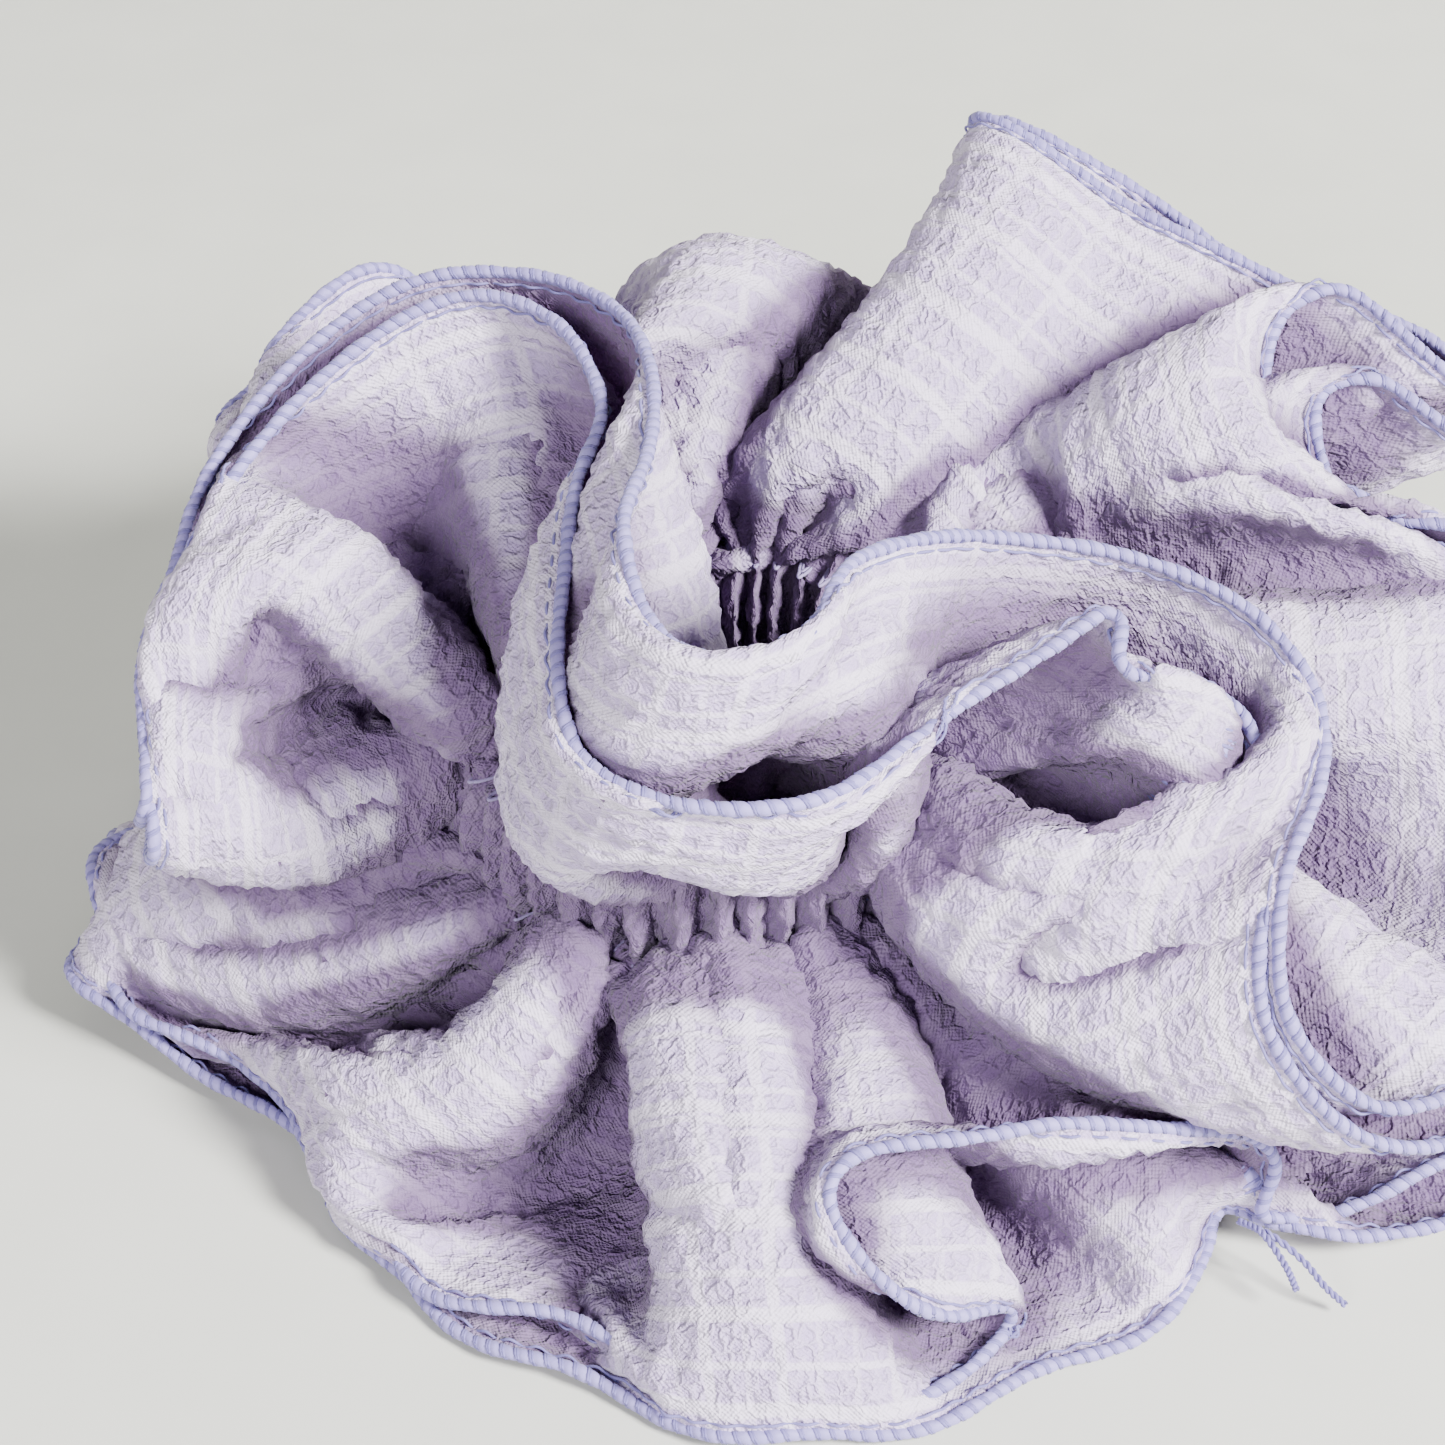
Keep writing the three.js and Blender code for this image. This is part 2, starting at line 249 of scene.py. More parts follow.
# ---- curves ----
def even_spacing(curve, samples):
    """The closed curve at equal steps of arc length, and its length."""
    closed = np.vstack([curve, curve[:1]])
    steps = np.linalg.norm(np.diff(closed[:, :3], axis=0), axis=1)
    s = np.concatenate([[0], np.cumsum(steps)])
    wanted = np.linspace(0, s[-1], samples, endpoint=False)
    columns = [np.interp(wanted, s, closed[:, k]) for k in range(curve.shape[1])]
    return np.stack(columns, axis=1), s[-1]


def wavy(curve, amplitude, waves):
    """The curve with small in-and-out waves, most of them at the back."""
    count = len(curve)
    phase = np.arange(count) / count
    radial = unit(curve[:, :3] * np.array([1, 1, 0]))
    back = 0.12 + 0.88 * np.clip((curve[:, 1] + 20) / 50, 0, 1)
    back = back * np.clip((58 - curve[:, 2]) / 10, 0.05, 1)
    back = np.convolve(np.concatenate([back[-20:], back, back[:20]]), np.ones(41) / 41, "valid")
    swing = np.sin(phase * waves * 2 * math.pi) * amplitude * back
    lift = np.cos(phase * waves * 2 * math.pi) * amplitude * 0.6 * back
    moved = curve.copy()
    moved[:, :3] += radial * swing[:, None]
    moved[:, 2] += lift
    return moved


def rim_curve(points, bows, samples, waves):
    """A closed rim through the points; waves make up its length if it is shorter than the strip."""
    known = [entry[0] for entry in bows]
    index = np.arange(len(points))
    bow = np.interp(index, known, [entry[1] for entry in bows], period=len(points))
    width = np.interp(index, known, [entry[2] for entry in bows], period=len(points))
    points = np.column_stack([np.array(points, float), bow, width])
    base, _ = even_spacing(smooth_path(points, 2400), 1200)
    low = 0.0
    high = 9.0
    for _ in range(24):
        middle = (low + high) / 2
        _, length = even_spacing(wavy(base, middle, waves), 1200)
        if length < STRIP_LENGTH:
            low = middle
        else:
            high = middle
    rim, _ = even_spacing(wavy(base, low, waves), samples)
    return rim


def pleat_wave(samples):
    """In and out of the gathers around the ring: an uneven wave from -1 to 1."""
    t = np.arange(samples) / samples * 2 * math.pi
    phase = PLEATS * t + 0.9 * np.sin(7 * t + 1.0) + 0.7 * np.sin(11 * t + 2.0) + 0.4 * np.sin(17 * t)
    size = 1 + 0.22 * np.sin(9 * t + 0.5) + 0.14 * np.sin(19 * t + 1.7)
    return np.sin(phase) * size


def on_ring(radius, angle, z):
    """Points at a radius, angle and height about the ring's axis."""
    return np.stack(np.broadcast_arrays(radius * np.cos(angle), radius * np.sin(angle), z), axis=-1)


def clockwise(samples):
    """Angles once round the ring from its front, going left."""
    return math.radians(270) - 2 * math.pi * (np.arange(samples) / samples)


def root_ring(samples, height, offset):
    """A gathered casing seam: a ring of pleats at the given height."""
    radius = RING_RADIUS + offset + PLEAT_DEPTH * pleat_wave(samples)
    return on_ring(radius, clockwise(samples), height)


# ---- start shape of one ruffle ----
def unit(v):
    return v / np.maximum(np.linalg.norm(v, axis=-1, keepdims=True), 1e-9)


def fold_heights(folds, samples, t):
    """Height of the broad folds over the whole ruffle."""
    u = np.arange(samples) * STRIP_LENGTH / samples
    total = np.zeros((samples, len(t)))
    for centre, half, height, reach in folds:
        away = (u - centre + STRIP_LENGTH / 2) % STRIP_LENGTH - STRIP_LENGTH / 2
        across = np.exp(-(away / half) ** 2 * 1.4)
        fade = np.clip(1 - t / reach, 0, 1)
        along = np.sin(math.pi * np.clip(t / reach, 0, 1) ** 0.75) * (1 - 0.3 * (1 - fade))
        total += height * across[:, None] * along[None, :]
    return total


def rim_place(points, index):
    """A place between two neighbouring rim points."""
    whole = int(math.floor(index))
    share = index - whole
    first = np.array(points[whole % len(points)], float)
    second = np.array(points[(whole + 1) % len(points)], float)
    return first * (1 - share) + second * share


def guide_patches(rims):
    """Small patches of cloth that are held near the crest or the bottom of a fold."""
    patches = []
    controls = (UPPER_INNER, UPPER_OUTER, LOWER_INNER, LOWER_OUTER)
    per = COLUMNS * ROWS
    for sheet, (points, rim) in enumerate(zip(controls, rims)):
        guides = UPPER_GUIDES if sheet < 2 else LOWER_GUIDES
        guides = guides + (UPPER_ROLL, OUTER_ROLL, [], [])[sheet]
        for index, share, place in guides:
            index = index * len(points) / len(controls[0 if sheet < 2 else 2])
            where = rim_place(points, index)
            column = int(np.argmin(np.linalg.norm(rim[:, :3] - where, axis=1)))
            row = int(round(share * (ROWS - 1)))
            du = np.arange(-PATCH_COLUMNS, PATCH_COLUMNS + 1)
            dv = np.arange(-PATCH_ROWS, PATCH_ROWS + 1)
            uu, vv = np.meshgrid(du, dv, indexing="ij")
            rows = row + vv
            inside = (rows > 0) & (rows < ROWS - 1)
            columns = (column + uu) % COLUMNS
            weight = np.exp(-(uu ** 2 + vv ** 2) / PATCH_SPREAD)
            ids = sheet * per + columns[inside] * ROWS + rows[inside]
            centre = sheet * per + column * ROWS + row
            patches.append((centre, ids, weight[inside], np.array(place, float)))
    return patches


def cloth_widths(root, rim):
    """Width of cloth between seam and rim for each column, never less than the gap it spans."""
    span = np.linalg.norm(rim[:, :3] - root, axis=1)
    return smooth_round(np.maximum(rim[:, 4], span * 1.03)[:, None], 9)[:, 0]


def start_ruffle(root, rim, rows, sign, folds):
    """Bowed lines from root to rim, with the broad folds laid in."""
    wide_rim = rim
    bend = rim[:, 3]
    rim = rim[:, :3]
    chord = rim - root
    span = np.linalg.norm(chord, axis=1)
    tangent = np.roll(rim, -4, axis=0) - np.roll(rim, 4, axis=0)
    normal = unit(np.cross(tangent, chord)) * sign
    normal = smooth_round(normal, 9)
    slack = np.clip(cloth_widths(root, wide_rim) / np.maximum(span, 1) - 1, 0.0, 0.8)
    bow = span * np.sqrt(slack * 8 / math.pi ** 2 * 0.5)
    t = np.linspace(0, 1, rows)
    line = root[:, None] + chord[:, None] * t[None, :, None]
    height = (bow * bend)[:, None] * np.sin(math.pi * t ** 1.3)[None, :]
    height = height + fold_heights(folds, len(rim), t)
    return line + normal[:, None] * height[..., None]


def smooth_round(values, width):
    """A running average around the closed ring."""
    kernel = np.ones(width) / width
    half = width // 2
    padded = np.concatenate([values[-half:], values, values[:half]])
    columns = [np.convolve(padded[:, k], kernel, "valid") for k in range(values.shape[1])]
    return np.stack(columns, axis=1)


# ---- cloth solver ----
class Link:
    """One family of distance constraints between grid points, none sharing a point."""

    def __init__(self, first, second, rest, strength):
        self.first = first
        self.second = second
        self.rest = rest
        self.strength = strength

    def solve(self, x, free):
        a = x[self.first]
        b = x[self.second]
        wa = free[self.first]
        wb = free[self.second]
        d = b - a
        length = np.sqrt(np.einsum("ij,ij->i", d, d)) + 1e-9
        total = np.maximum(wa + wb, 1e-6)
        push = (length - self.rest) / (length * total) * self.strength
        d *= push[:, None]
        x[self.first] = a + d * wa[:, None]
        x[self.second] = b - d * wb[:, None]


def grid_links(sheets, widths):
    """All links of all ruffles: stretch, shear and bending."""
    du = STRIP_LENGTH / COLUMNS
    step = widths / (ROWS - 1)
    index = np.arange(sheets * COLUMNS * ROWS).reshape(sheets, COLUMNS, ROWS)
    links = []

    def across(step_u, step_v, strength, soft_rows=0):
        colours = max(step_u, 1) if step_u else max(step_v, 1)
        period = 2 * colours
        for colour in range(2):
            if step_u:
                keep = (np.arange(COLUMNS) % period) // colours == colour
            else:
                keep = np.ones(COLUMNS, bool)
            moved = np.roll(index, -step_u, axis=1)
            low = max(0, -step_v)
            high = ROWS - max(0, step_v)
            rows = np.arange(low, high)
            if not step_u:
                rows = rows[(rows % period) // colours == colour]
            first = index[:, keep][:, :, rows].ravel()
            second = moved[:, keep][:, :, rows + step_v].ravel()
            rest = np.hypot(step_u * du, step_v * step[:, keep])
            rest = np.repeat(rest.ravel(), len(rows))
            force = np.full(len(rows), strength)
            if soft_rows:
                force = strength * np.clip(rows / soft_rows, 0.15, 1)
            force = np.tile(force, len(rest) // len(rows))
            links.append(Link(first, second, rest, force))

    across(1, 0, STRETCH)
    across(0, 1, STRETCH)
    across(1, 1, SHEAR)
    across(1, -1, SHEAR)
    across(2, 0, BEND_NEAR)
    across(0, 2, BEND_NEAR)
    across(4, 0, BEND_FAR, 12)
    across(0, 4, BEND_FAR, 12)
    across(8, 0, BEND_BROAD, 20)
    across(0, 8, BEND_BROAD, 20)
    return links


def close_pairs(x, reach):
    """Pairs of points closer than reach, by sorting them into cells."""
    cell = np.floor(x / reach).astype(np.int64) + 500
    key = (cell[:, 0] * 1024 + cell[:, 1]) * 1024 + cell[:, 2]
    order = np.argsort(key, kind="stable")
    sorted_key = key[order]
    firsts = []
    seconds = []
    steps = [(0, 0, 0), (0, 0, 1), (0, 1, -1), (0, 1, 0), (0, 1, 1)]
    steps += [(1, a, b) for a in (-1, 0, 1) for b in (-1, 0, 1)]
    position = np.arange(len(x))
    for a, b, c in steps:
        target = sorted_key + (a * 1024 + b) * 1024 + c
        low = np.searchsorted(sorted_key, target, "left")
        high = np.searchsorted(sorted_key, target, "right")
        if (a, b, c) == (0, 0, 0):
            low = position + 1
        count = np.maximum(high - low, 0)
        first = np.repeat(position, count)
        offset = np.arange(len(first)) - np.repeat(np.cumsum(count) - count, count)
        second = np.repeat(low, count) + offset
        i = order[first]
        j = order[second]
        gap = x[i] - x[j]
        near = np.einsum("ij,ij->i", gap, gap) < reach * reach
        firsts.append(i[near])
        seconds.append(j[near])
    return np.concatenate(firsts), np.concatenate(seconds)


def apart_on_cloth(i, j, minimum):
    """True where two points are not neighbours on the same strip."""
    per = COLUMNS * ROWS
    same = (i // per) == (j // per)
    ui = (i % per) // ROWS
    uj = (j % per) // ROWS
    du = np.abs(ui - uj)
    du = np.minimum(du, COLUMNS - du) * (STRIP_LENGTH / COLUMNS)
    dv = np.abs(i % ROWS - j % ROWS) * (RUFFLE_WIDTH / (ROWS - 1))
    return ~same | (np.hypot(du, dv) > minimum)


def keep_apart(x, free, radius, i, j):
    """Push close points of different plies away from each other."""
    d = x[j] - x[i]
    length = np.sqrt(np.einsum("ij,ij->i", d, d)) + 1e-9
    want = radius[i] + radius[j]
    hit = length < want
    i = i[hit]
    j = j[hit]
    d = d[hit] / length[hit][:, None]
    size = (want[hit] - length[hit]) * 0.5
    total = np.maximum(free[i] + free[j], 1e-6)
    move = d * (size / total)[:, None]
    for k in range(3):
        x[:, k] -= np.bincount(i, move[:, k] * free[i], len(x))
        x[:, k] += np.bincount(j, move[:, k] * free[j], len(x))


def settle(sheets, rims):
    """Let the ruffles buckle and hang between their roots and rims."""
    count = len(sheets)
    x = np.stack(sheets).reshape(-1, 3)
    noise = np.random.default_rng(7).normal(0, 0.12, x.shape)
    row = np.tile(np.arange(ROWS), count * COLUMNS)
    free = np.ones(len(x))
    free[row == 0] = 0
    radius = 0.25 + 0.55 * np.clip(row / 6, 0, 1)
    rim_points = row == ROWS - 1
    targets = np.concatenate([rim[:, :3] for rim in rims])
    widths = np.stack([cloth_widths(sheet[:, 0], rim) for sheet, rim in zip(sheets, rims)])
    links = grid_links(count, widths)
    x += noise * free[:, None]
    patches = guide_patches(rims)
    before = x.copy()
    pairs = None
    for step in range(STEPS):
        velocity = (x - before) * DAMPING
        speed = np.linalg.norm(velocity, axis=1, keepdims=True)
        velocity *= np.minimum(1, 0.7 / np.maximum(speed, 1e-9))
        before = x.copy()
        x = x + velocity * free[:, None]
        x[:, 2] -= GRAVITY * free
        for link in links:
            link.solve(x, free)
        x[rim_points] += (targets - x[rim_points]) * RIM_HOLD
        if step < STEPS * GUIDED:
            for centre, ids, weight, place in patches:
                shift = (place - x[centre]) * GUIDE_HOLD
                x[ids] += shift * weight[:, None]
        if step % CONTACT_EVERY == 0:
            i, j = close_pairs(x, CONTACT_REACH)
            keep = apart_on_cloth(i, j, OWN_CLOTH_REACH)
            pairs = (i[keep], j[keep])
        keep_apart(x, free, radius, *pairs)
        x[:, 2] = np.maximum(x[:, 2], FLOOR_GAP + 0.6)
    return x.reshape(count, COLUMNS, ROWS, 3)


# ---- how enclosed each place is, which sets the painted shade in the cloth's colour ----
def painted_shade_enclosure(ruffles):
    """Share of each face's outlook that nearby cloth closes off, used as painted shade: (front, back) on a
    coarse grid.
    """
    coarse = ruffles[:, ::2, ::2]
    normal = np.stack([surface_normals(sheet) for sheet in coarse])
    x = coarse.reshape(-1, 3)
    n = normal.reshape(-1, 3)
    i, j = close_pairs(x, PAINTED_SHADE_REACH)
    d = x[j] - x[i]
    length = np.sqrt(np.einsum("ij,ij->i", d, d)) + 1e-6
    d /= length[:, None]
    ci = np.einsum("ij,ij->i", n[i], d)
    cj = np.einsum("ij,ij->i", n[j], d)
    area = STRIP_LENGTH / COLUMNS * RUFFLE_WIDTH / (ROWS - 1) * 4
    share = np.abs(ci * cj) * area / (math.pi * np.maximum(length, 3.5) ** 2)
    count = len(x)
    front = np.bincount(i[ci > 0], share[ci > 0], count) + np.bincount(j[cj < 0], share[cj < 0], count)
    back = np.bincount(i[ci < 0], share[ci < 0], count) + np.bincount(j[cj > 0], share[cj > 0], count)
    both = np.stack([front, back], axis=1).reshape(coarse.shape[:3] + (2,))
    return np.clip(both, 0, 1)


def strip_painted_shade(upper, lower, between):
    """Enclosure over a whole strip on the fine grid, for the painted shade, with its value on the casing
    between the seams.
    """
    casing = np.full((upper.shape[0], 4, 2), between)
    return np.clip(whole_strip(upper[..., ::-1], casing, lower), 0, 1)


# ---- fine grid ----
def cubic_resample(values, samples, axis, periodic):
    """Smooth resampling of a grid along one axis."""
    values = np.moveaxis(values, axis, 0)
    count = values.shape[0]
    if periodic:
        t = np.arange(samples) * count / samples
    else:
        t = np.linspace(0, count - 1, samples)
    i = np.floor(t).astype(int)
    if not periodic:
        i = np.minimum(i, count - 2)
    f = (t - i).reshape((-1,) + (1,) * (values.ndim - 1))

    def pick(k):
        if periodic:
            return values[k % count]
        inside = values[np.clip(k, 0, count - 1)]
        before = 2 * values[0] - values[1]
        after = 2 * values[-1] - values[-2]
        inside = np.where((k < 0).reshape(f.shape), before, inside)
        return np.where((k > count - 1).reshape(f.shape), after, inside)

    a = pick(i - 1)
    b = pick(i)
    c = pick(i + 1)
    d = pick(i + 2)
    linear = (c - a) * f
    square = (2 * a - 5 * b + 4 * c - d) * f * f
    cube = (3 * b - a - 3 * c + d) * f ** 3
    return np.moveaxis(b + 0.5 * (linear + square + cube), 0, axis)


def casing_rows(upper_root, lower_root, side, rows):
    """The tube wall between the two seams, bulging to its own side, with softer gathers half way."""
    t = np.linspace(0, 1, rows)[None, :, None]
    wall = upper_root[:, None] * (1 - t) + lower_root[:, None] * t
    outward = unit(upper_root * np.array([1, 1, 0]))[:, None]
    middle = np.sin(math.pi * t)
    flat = outward * np.linalg.norm(upper_root[:, :2], axis=1).mean() + wall * np.array([0, 0, 1])
    wall = wall + (flat - wall) * (GATHER_SOFTNESS * middle)
    turn = np.arange(len(upper_root)) / len(upper_root) * 2 * math.pi
    uneven = np.sin(13 * turn + 1.0) + np.sin(23 * turn + 2.2)
    wall = wall + outward * (GATHER_UNEVEN * uneven[:, None, None] * middle)
    wall = wall + outward * (middle * CASING_BULGE * side)
    return clear_of_elastic(wall, outward, side, middle)


def clear_of_elastic(wall, outward, side, middle):
    """The wall eased away from the ring's middle radius, to leave more room for the elastic."""
    radius = np.linalg.norm(wall[..., :2], axis=-1, keepdims=True)
    room = ELASTIC_ROOM * np.clip(middle * 1.9, 0, 1)
    away = side * (radius - RING_RADIUS) - room
    eased = room + ROOM_EASE * np.logaddexp(0, away / ROOM_EASE)
    share = np.clip(middle * 3, 0, 1)
    return wall + outward * (side * (eased - away - room) * share)


def whole_strip(upper, casing, lower):
    """One strip, from the upper rim through the casing to the lower rim, on the fine grid."""
    along = int(STRIP_LENGTH / FINE_STEP)
    fine_rows = int(RUFFLE_WIDTH / FINE_STEP)
    casing_count = int(CASING_WIDTH / FINE_STEP) + 1
    up = cubic_resample(upper[:, ::-1], fine_rows + 1, 1, False)
    down = cubic_resample(lower, fine_rows + 1, 1, False)
    middle = cubic_resample(casing, casing_count, 1, False)
    strip = np.concatenate([up[:, :-1], middle, down[:, 1:]], axis=1)
    return cubic_resample(strip, along, 0, True)


def surface_normals(grid):
    along = np.roll(grid, -1, axis=0) - np.roll(grid, 1, axis=0)
    across = np.gradient(grid, axis=1)
    return unit(np.cross(along, across))


def flat_coordinates(grid):
    """The cut cloth's own flat coordinates of each grid point, mm."""
    columns, rows = grid.shape[:2]
    u = np.arange(columns) * STRIP_LENGTH / columns
    v = np.linspace(0, 2 * RUFFLE_WIDTH + CASING_WIDTH, rows)
    return np.meshgrid(u, v, indexing="ij")


# ---- crinkle ----
def cell_ridges(u, v, size, seed, period):
    """Ridges between the cells of a scattered pattern: 1 on a ridge, 0 in a cell."""
    across = int(round(period / size))
    step = period / across
    rng = np.random.default_rng(seed)
    tall = int(v.max() / step) + 6
    jitter = rng.uniform(0, 1, (across, tall, 2))
    ui = np.floor(u / step).astype(int)
    vi = np.floor(v / step).astype(int)
    best = np.full(u.shape, 1e9)
    second = np.full(u.shape, 1e9)
    for a in (-1, 0, 1):
        for b in (-1, 0, 1):
            cu = ui + a
            cv = vi + b
            point = jitter[cu % across, (cv + 2) % tall]
            du = (cu + point[..., 0]) * step - u
            dv = (cv + point[..., 1]) * step - v
            distance = np.hypot(du, dv) / step
            second = np.minimum(second, np.maximum(distance, best))
            best = np.minimum(best, distance)
    return np.clip(1 - (second - best) * 2.2, 0, 1)


def crinkle(u, v, seed):
    """Height of the crepe surface, mm."""
    wobble = 0.9 * np.sin(u * 0.9 + 1.3 * np.sin(v * 0.7)) + 0.6 * np.sin(u * 0.37 + v * 0.53)
    fine = cell_ridges(u + wobble, v * 0.85 + wobble, 2.3, seed, STRIP_LENGTH)
    broad = cell_ridges(u + 2 * wobble, v * 0.7, 6.0, seed + 1, STRIP_LENGTH)
    return 0.62 * (fine - 0.35) + 0.40 * (broad - 0.4)


# ---- meshes ----
def to_frame(points):
    """Millimetres around the ring axis into metres in the shared frame."""
    moved = points / 1000.0
    moved[..., 0] += AXIS_X
    moved[..., 1] += AXIS_Y
    return moved


def mesh_object(name, points, faces):
    mesh = bpy.data.meshes.new(name)
    mesh.vertices.add(len(points))
    mesh.vertices.foreach_set("co", np.ascontiguousarray(points, np.float32).ravel())
    count = len(faces)
    mesh.loops.add(count * 4)
    mesh.loops.foreach_set("vertex_index", faces.astype(np.int32).ravel())
    mesh.polygons.add(count)
    mesh.polygons.foreach_set("loop_start", np.arange(0, count * 4, 4, dtype=np.int32))
    mesh.update(calc_edges=True)
    mesh.validate()
    mesh.polygons.foreach_set("use_smooth", np.full(len(mesh.polygons), True))
    obj = bpy.data.objects.new(name, mesh)
    bpy.context.scene.collection.objects.link(obj)
    return obj


def quad_rows(corners):
    """Faces as rows of four point numbers, from four grids of point numbers."""
    return np.stack([corner.ravel() for corner in np.broadcast_arrays(*corners)], axis=1)


def grid_faces(columns, rows, start=0, flip=False):
    """Quads of a grid closed along its columns."""
    i = np.arange(columns)[:, None]
    j = np.arange(rows - 1)[None, :]
    n = (i + 1) % columns
    a = start + i * rows + j
    b = start + n * rows + j
    c = start + n * rows + j + 1
    d = start + i * rows + j + 1
    return quad_rows([a, d, c, b] if flip else [a, b, c, d])


def rim_faces(columns, rows, start):
    """Quads that close the two long edges between the front and back faces."""
    i = np.arange(columns)
    n = (i + 1) % columns
    top = np.stack([i * rows, start + i * rows, start + n * rows, n * rows], axis=1)
    last = rows - 1
    low = np.stack([i * rows + last, n * rows + last, start + n * rows + last, start + i * rows + last], 1)
    return np.concatenate([top, low])


def write_painted_shade(obj, front, back):
    """Keep the enclosure of each face as a point attribute, which darkens the cloth's colour as painted
    shade.
    """
    layer = obj.data.attributes.new("painted_shade_enclosure", "FLOAT", "POINT")
    values = np.concatenate([front.ravel(), back.ravel()])
    layer.data.foreach_set("value", values.astype(np.float32))


def cloth_piece(name, grid, painted_shade_amount, seed):
    """A closed thin shell of crinkled cloth, with its flat coordinates as UV."""
    columns, rows = grid.shape[:2]
    u, v = flat_coordinates(grid)
    normal = surface_normals(grid)
    height = crinkle(u, v, seed)
    hem = np.clip(np.minimum(v, v.max() - v) / 4, 0, 1)
    middle = grid + normal * (height * hem)[..., None]
    half = CLOTH_THICKNESS / 2
    front = middle + normal * half
    back = middle - normal * half
    points = np.concatenate([front.reshape(-1, 3), back.reshape(-1, 3)])
    points[:, 2] = np.maximum(points[:, 2], FLOOR_GAP)
    start = columns * rows
    faces = np.concatenate([
        grid_faces(columns, rows),
        grid_faces(columns, rows, start, True),
        rim_faces(columns, rows, start),
    ])
    obj = mesh_object(name, to_frame(points), faces)
    flat = np.stack([u.ravel(), v.ravel()], axis=1)
    flat = np.concatenate([flat, flat])
    write_flat_map(obj, flat, start, rows)
    # painted shade: how enclosed each face is, stored for the cloth's colour
    write_painted_shade(obj, painted_shade_amount[..., 0], painted_shade_amount[..., 1])
    return obj


def write_flat_map(obj, flat, start, rows):
    """UV in centimetres of cut cloth, without a jump where the strip closes."""
    mesh = obj.data
    loops = np.empty(len(mesh.loops), np.int32)
    mesh.loops.foreach_get("vertex_index", loops)
    uv = flat[loops].reshape(-1, 4, 2).copy()
    jump = uv[:, :, 0].max(axis=1) - uv[:, :, 0].min(axis=1) > STRIP_LENGTH / 2
    wrapped = uv[jump]
    wrapped[:, :, 0][wrapped[:, :, 0] < STRIP_LENGTH / 2] += STRIP_LENGTH
    uv[jump] = wrapped
    layer = mesh.uv_layers.new(name="flat")
    layer.data.foreach_set("uv", (uv / 10.0).ravel().astype(np.float32))


def tube(path, radius, sides, closed=True):
    """Points and quads of a tube along a path; radius may vary along it and around it."""
    count = len(path)
    if closed:
        tangent = unit(np.roll(path, -1, axis=0) - np.roll(path, 1, axis=0))
    else:
        tangent = unit(np.gradient(path, axis=0))
    side = np.cross(tangent, np.array([0.0, 0.0, 1.0]))
    weak = np.linalg.norm(side, axis=1) < 0.15
    side[weak] = np.cross(tangent[weak], np.array([1.0, 0.0, 0.0]))
    side = unit(side)
    other = np.cross(side, tangent)
    angle = np.arange(sides) * 2 * math.pi / sides
    r = np.broadcast_to(radius, (count, sides))
    ring = side[:, None] * np.cos(angle)[None, :, None] + other[:, None] * np.sin(angle)[None, :, None]
    points = (path[:, None] + ring * r[..., None]).reshape(-1, 3)
    last = count if closed else count - 1
    i = np.arange(last)[:, None]
    j = np.arange(sides)[None, :]
    n = (i + 1) % count
    m = (j + 1) % sides
    faces = quad_rows([i * sides + j, n * sides + j, n * sides + m, i * sides + m])
    if not closed:
        faces = np.concatenate([faces, end_caps(count, sides)])
    return points, faces


def end_caps(count, sides):
    """Quads that close both ends of an open tube with an even number of sides."""
    caps = []
    half = sides // 2
    for start, order in ((0, 1), ((count - 1) * sides, -1)):
        for k in range(half - 1):
            quad = [start + k, start + k + 1, start + sides - 2 - k, start + sides - 1 - k]
            caps.append(quad[::-order])
    return np.array(caps)


def joined_piece(name, parts):
    """One object from several closed parts; each part is (points, faces, material index)."""
    points = []
    faces = []
    indices = []
    start = 0
    for part_points, part_faces, index in parts:
        points.append(part_points)
        faces.append(part_faces + start)
        indices.append(np.full(len(part_faces), index, np.int32))
        start += len(part_points)
    every = np.concatenate(points)
    every[:, 2] = np.maximum(every[:, 2], 0.1)
    obj = mesh_object(name, to_frame(every), np.concatenate(faces))
    obj.data.polygons.foreach_set("material_index", np.concatenate(indices))
    return obj


# ---- rolled edging ----
def even_closed(path, step):
    """A closed path at even steps, and the distance along it."""
    length = even_spacing(path, 10)[1]
    count = int(length / step)
    even, length = even_spacing(path, count)
    return even, np.arange(count) * length / count, length


def smooth_path(path, samples):
    return cubic_resample(path, samples, 0, True)


def local_axes(path, toward):
    """Two directions square to a closed path; the first points toward the given vectors."""
    tangent = unit(np.roll(path, -1, axis=0) - np.roll(path, 1, axis=0))
    first = unit(toward - tangent * np.sum(toward * tangent, axis=1)[:, None])
    return first, np.cross(tangent, first)


def rope_part(packed, inward, up, phase, uneven):
    """The puffed edge, with a groove where each turn of thread pulls it in."""
    sides = 12
    angle = np.arange(sides) * 2 * math.pi / sides
    groove = 0.5 + 0.5 * np.cos(phase[:, None] - angle[None, :])
    r = ROPE_RADIUS * uneven[:, None] * (1.06 - 0.30 * groove ** 3)
    ring = inward[:, None] * np.cos(angle)[None, :, None] + up[:, None] * np.sin(angle)[None, :, None]
    rope = (packed[:, None] + ring * r[..., None]).reshape(-1, 3)
    return rope, tube(packed, 1.0, sides)[1], 0


def thread_parts(packed, inward, up, uneven, turns):
    """Two strands wound over the edge, and a needle line on each side of the cloth."""
    wind = smooth_path(packed, turns * 8)
    pick = nearest_along(packed, wind)
    inward = inward[pick]
    up = up[pick]
    turn = np.arange(len(wind)) / 8 * 2 * math.pi
    reach = ROPE_RADIUS * 0.90 * uneven[pick]
    parts = []
    for lag in (0.0, 0.9):
        swing = inward * (np.cos(turn + lag) * reach)[:, None]
        swing = swing + up * (np.sin(turn + lag) * reach)[:, None]
        parts.append((*tube(wind + swing, THREAD_RADIUS, 6), 1))
    dip = np.sin(turn * 0.5) * 0.25
    for side in (1, -1):
        line = wind + inward * (ROPE_RADIUS + 0.55) + up * (side * (0.32 + dip))[:, None]
        parts.append((*tube(line, THREAD_RADIUS * 0.9, 6), 1))
    return parts


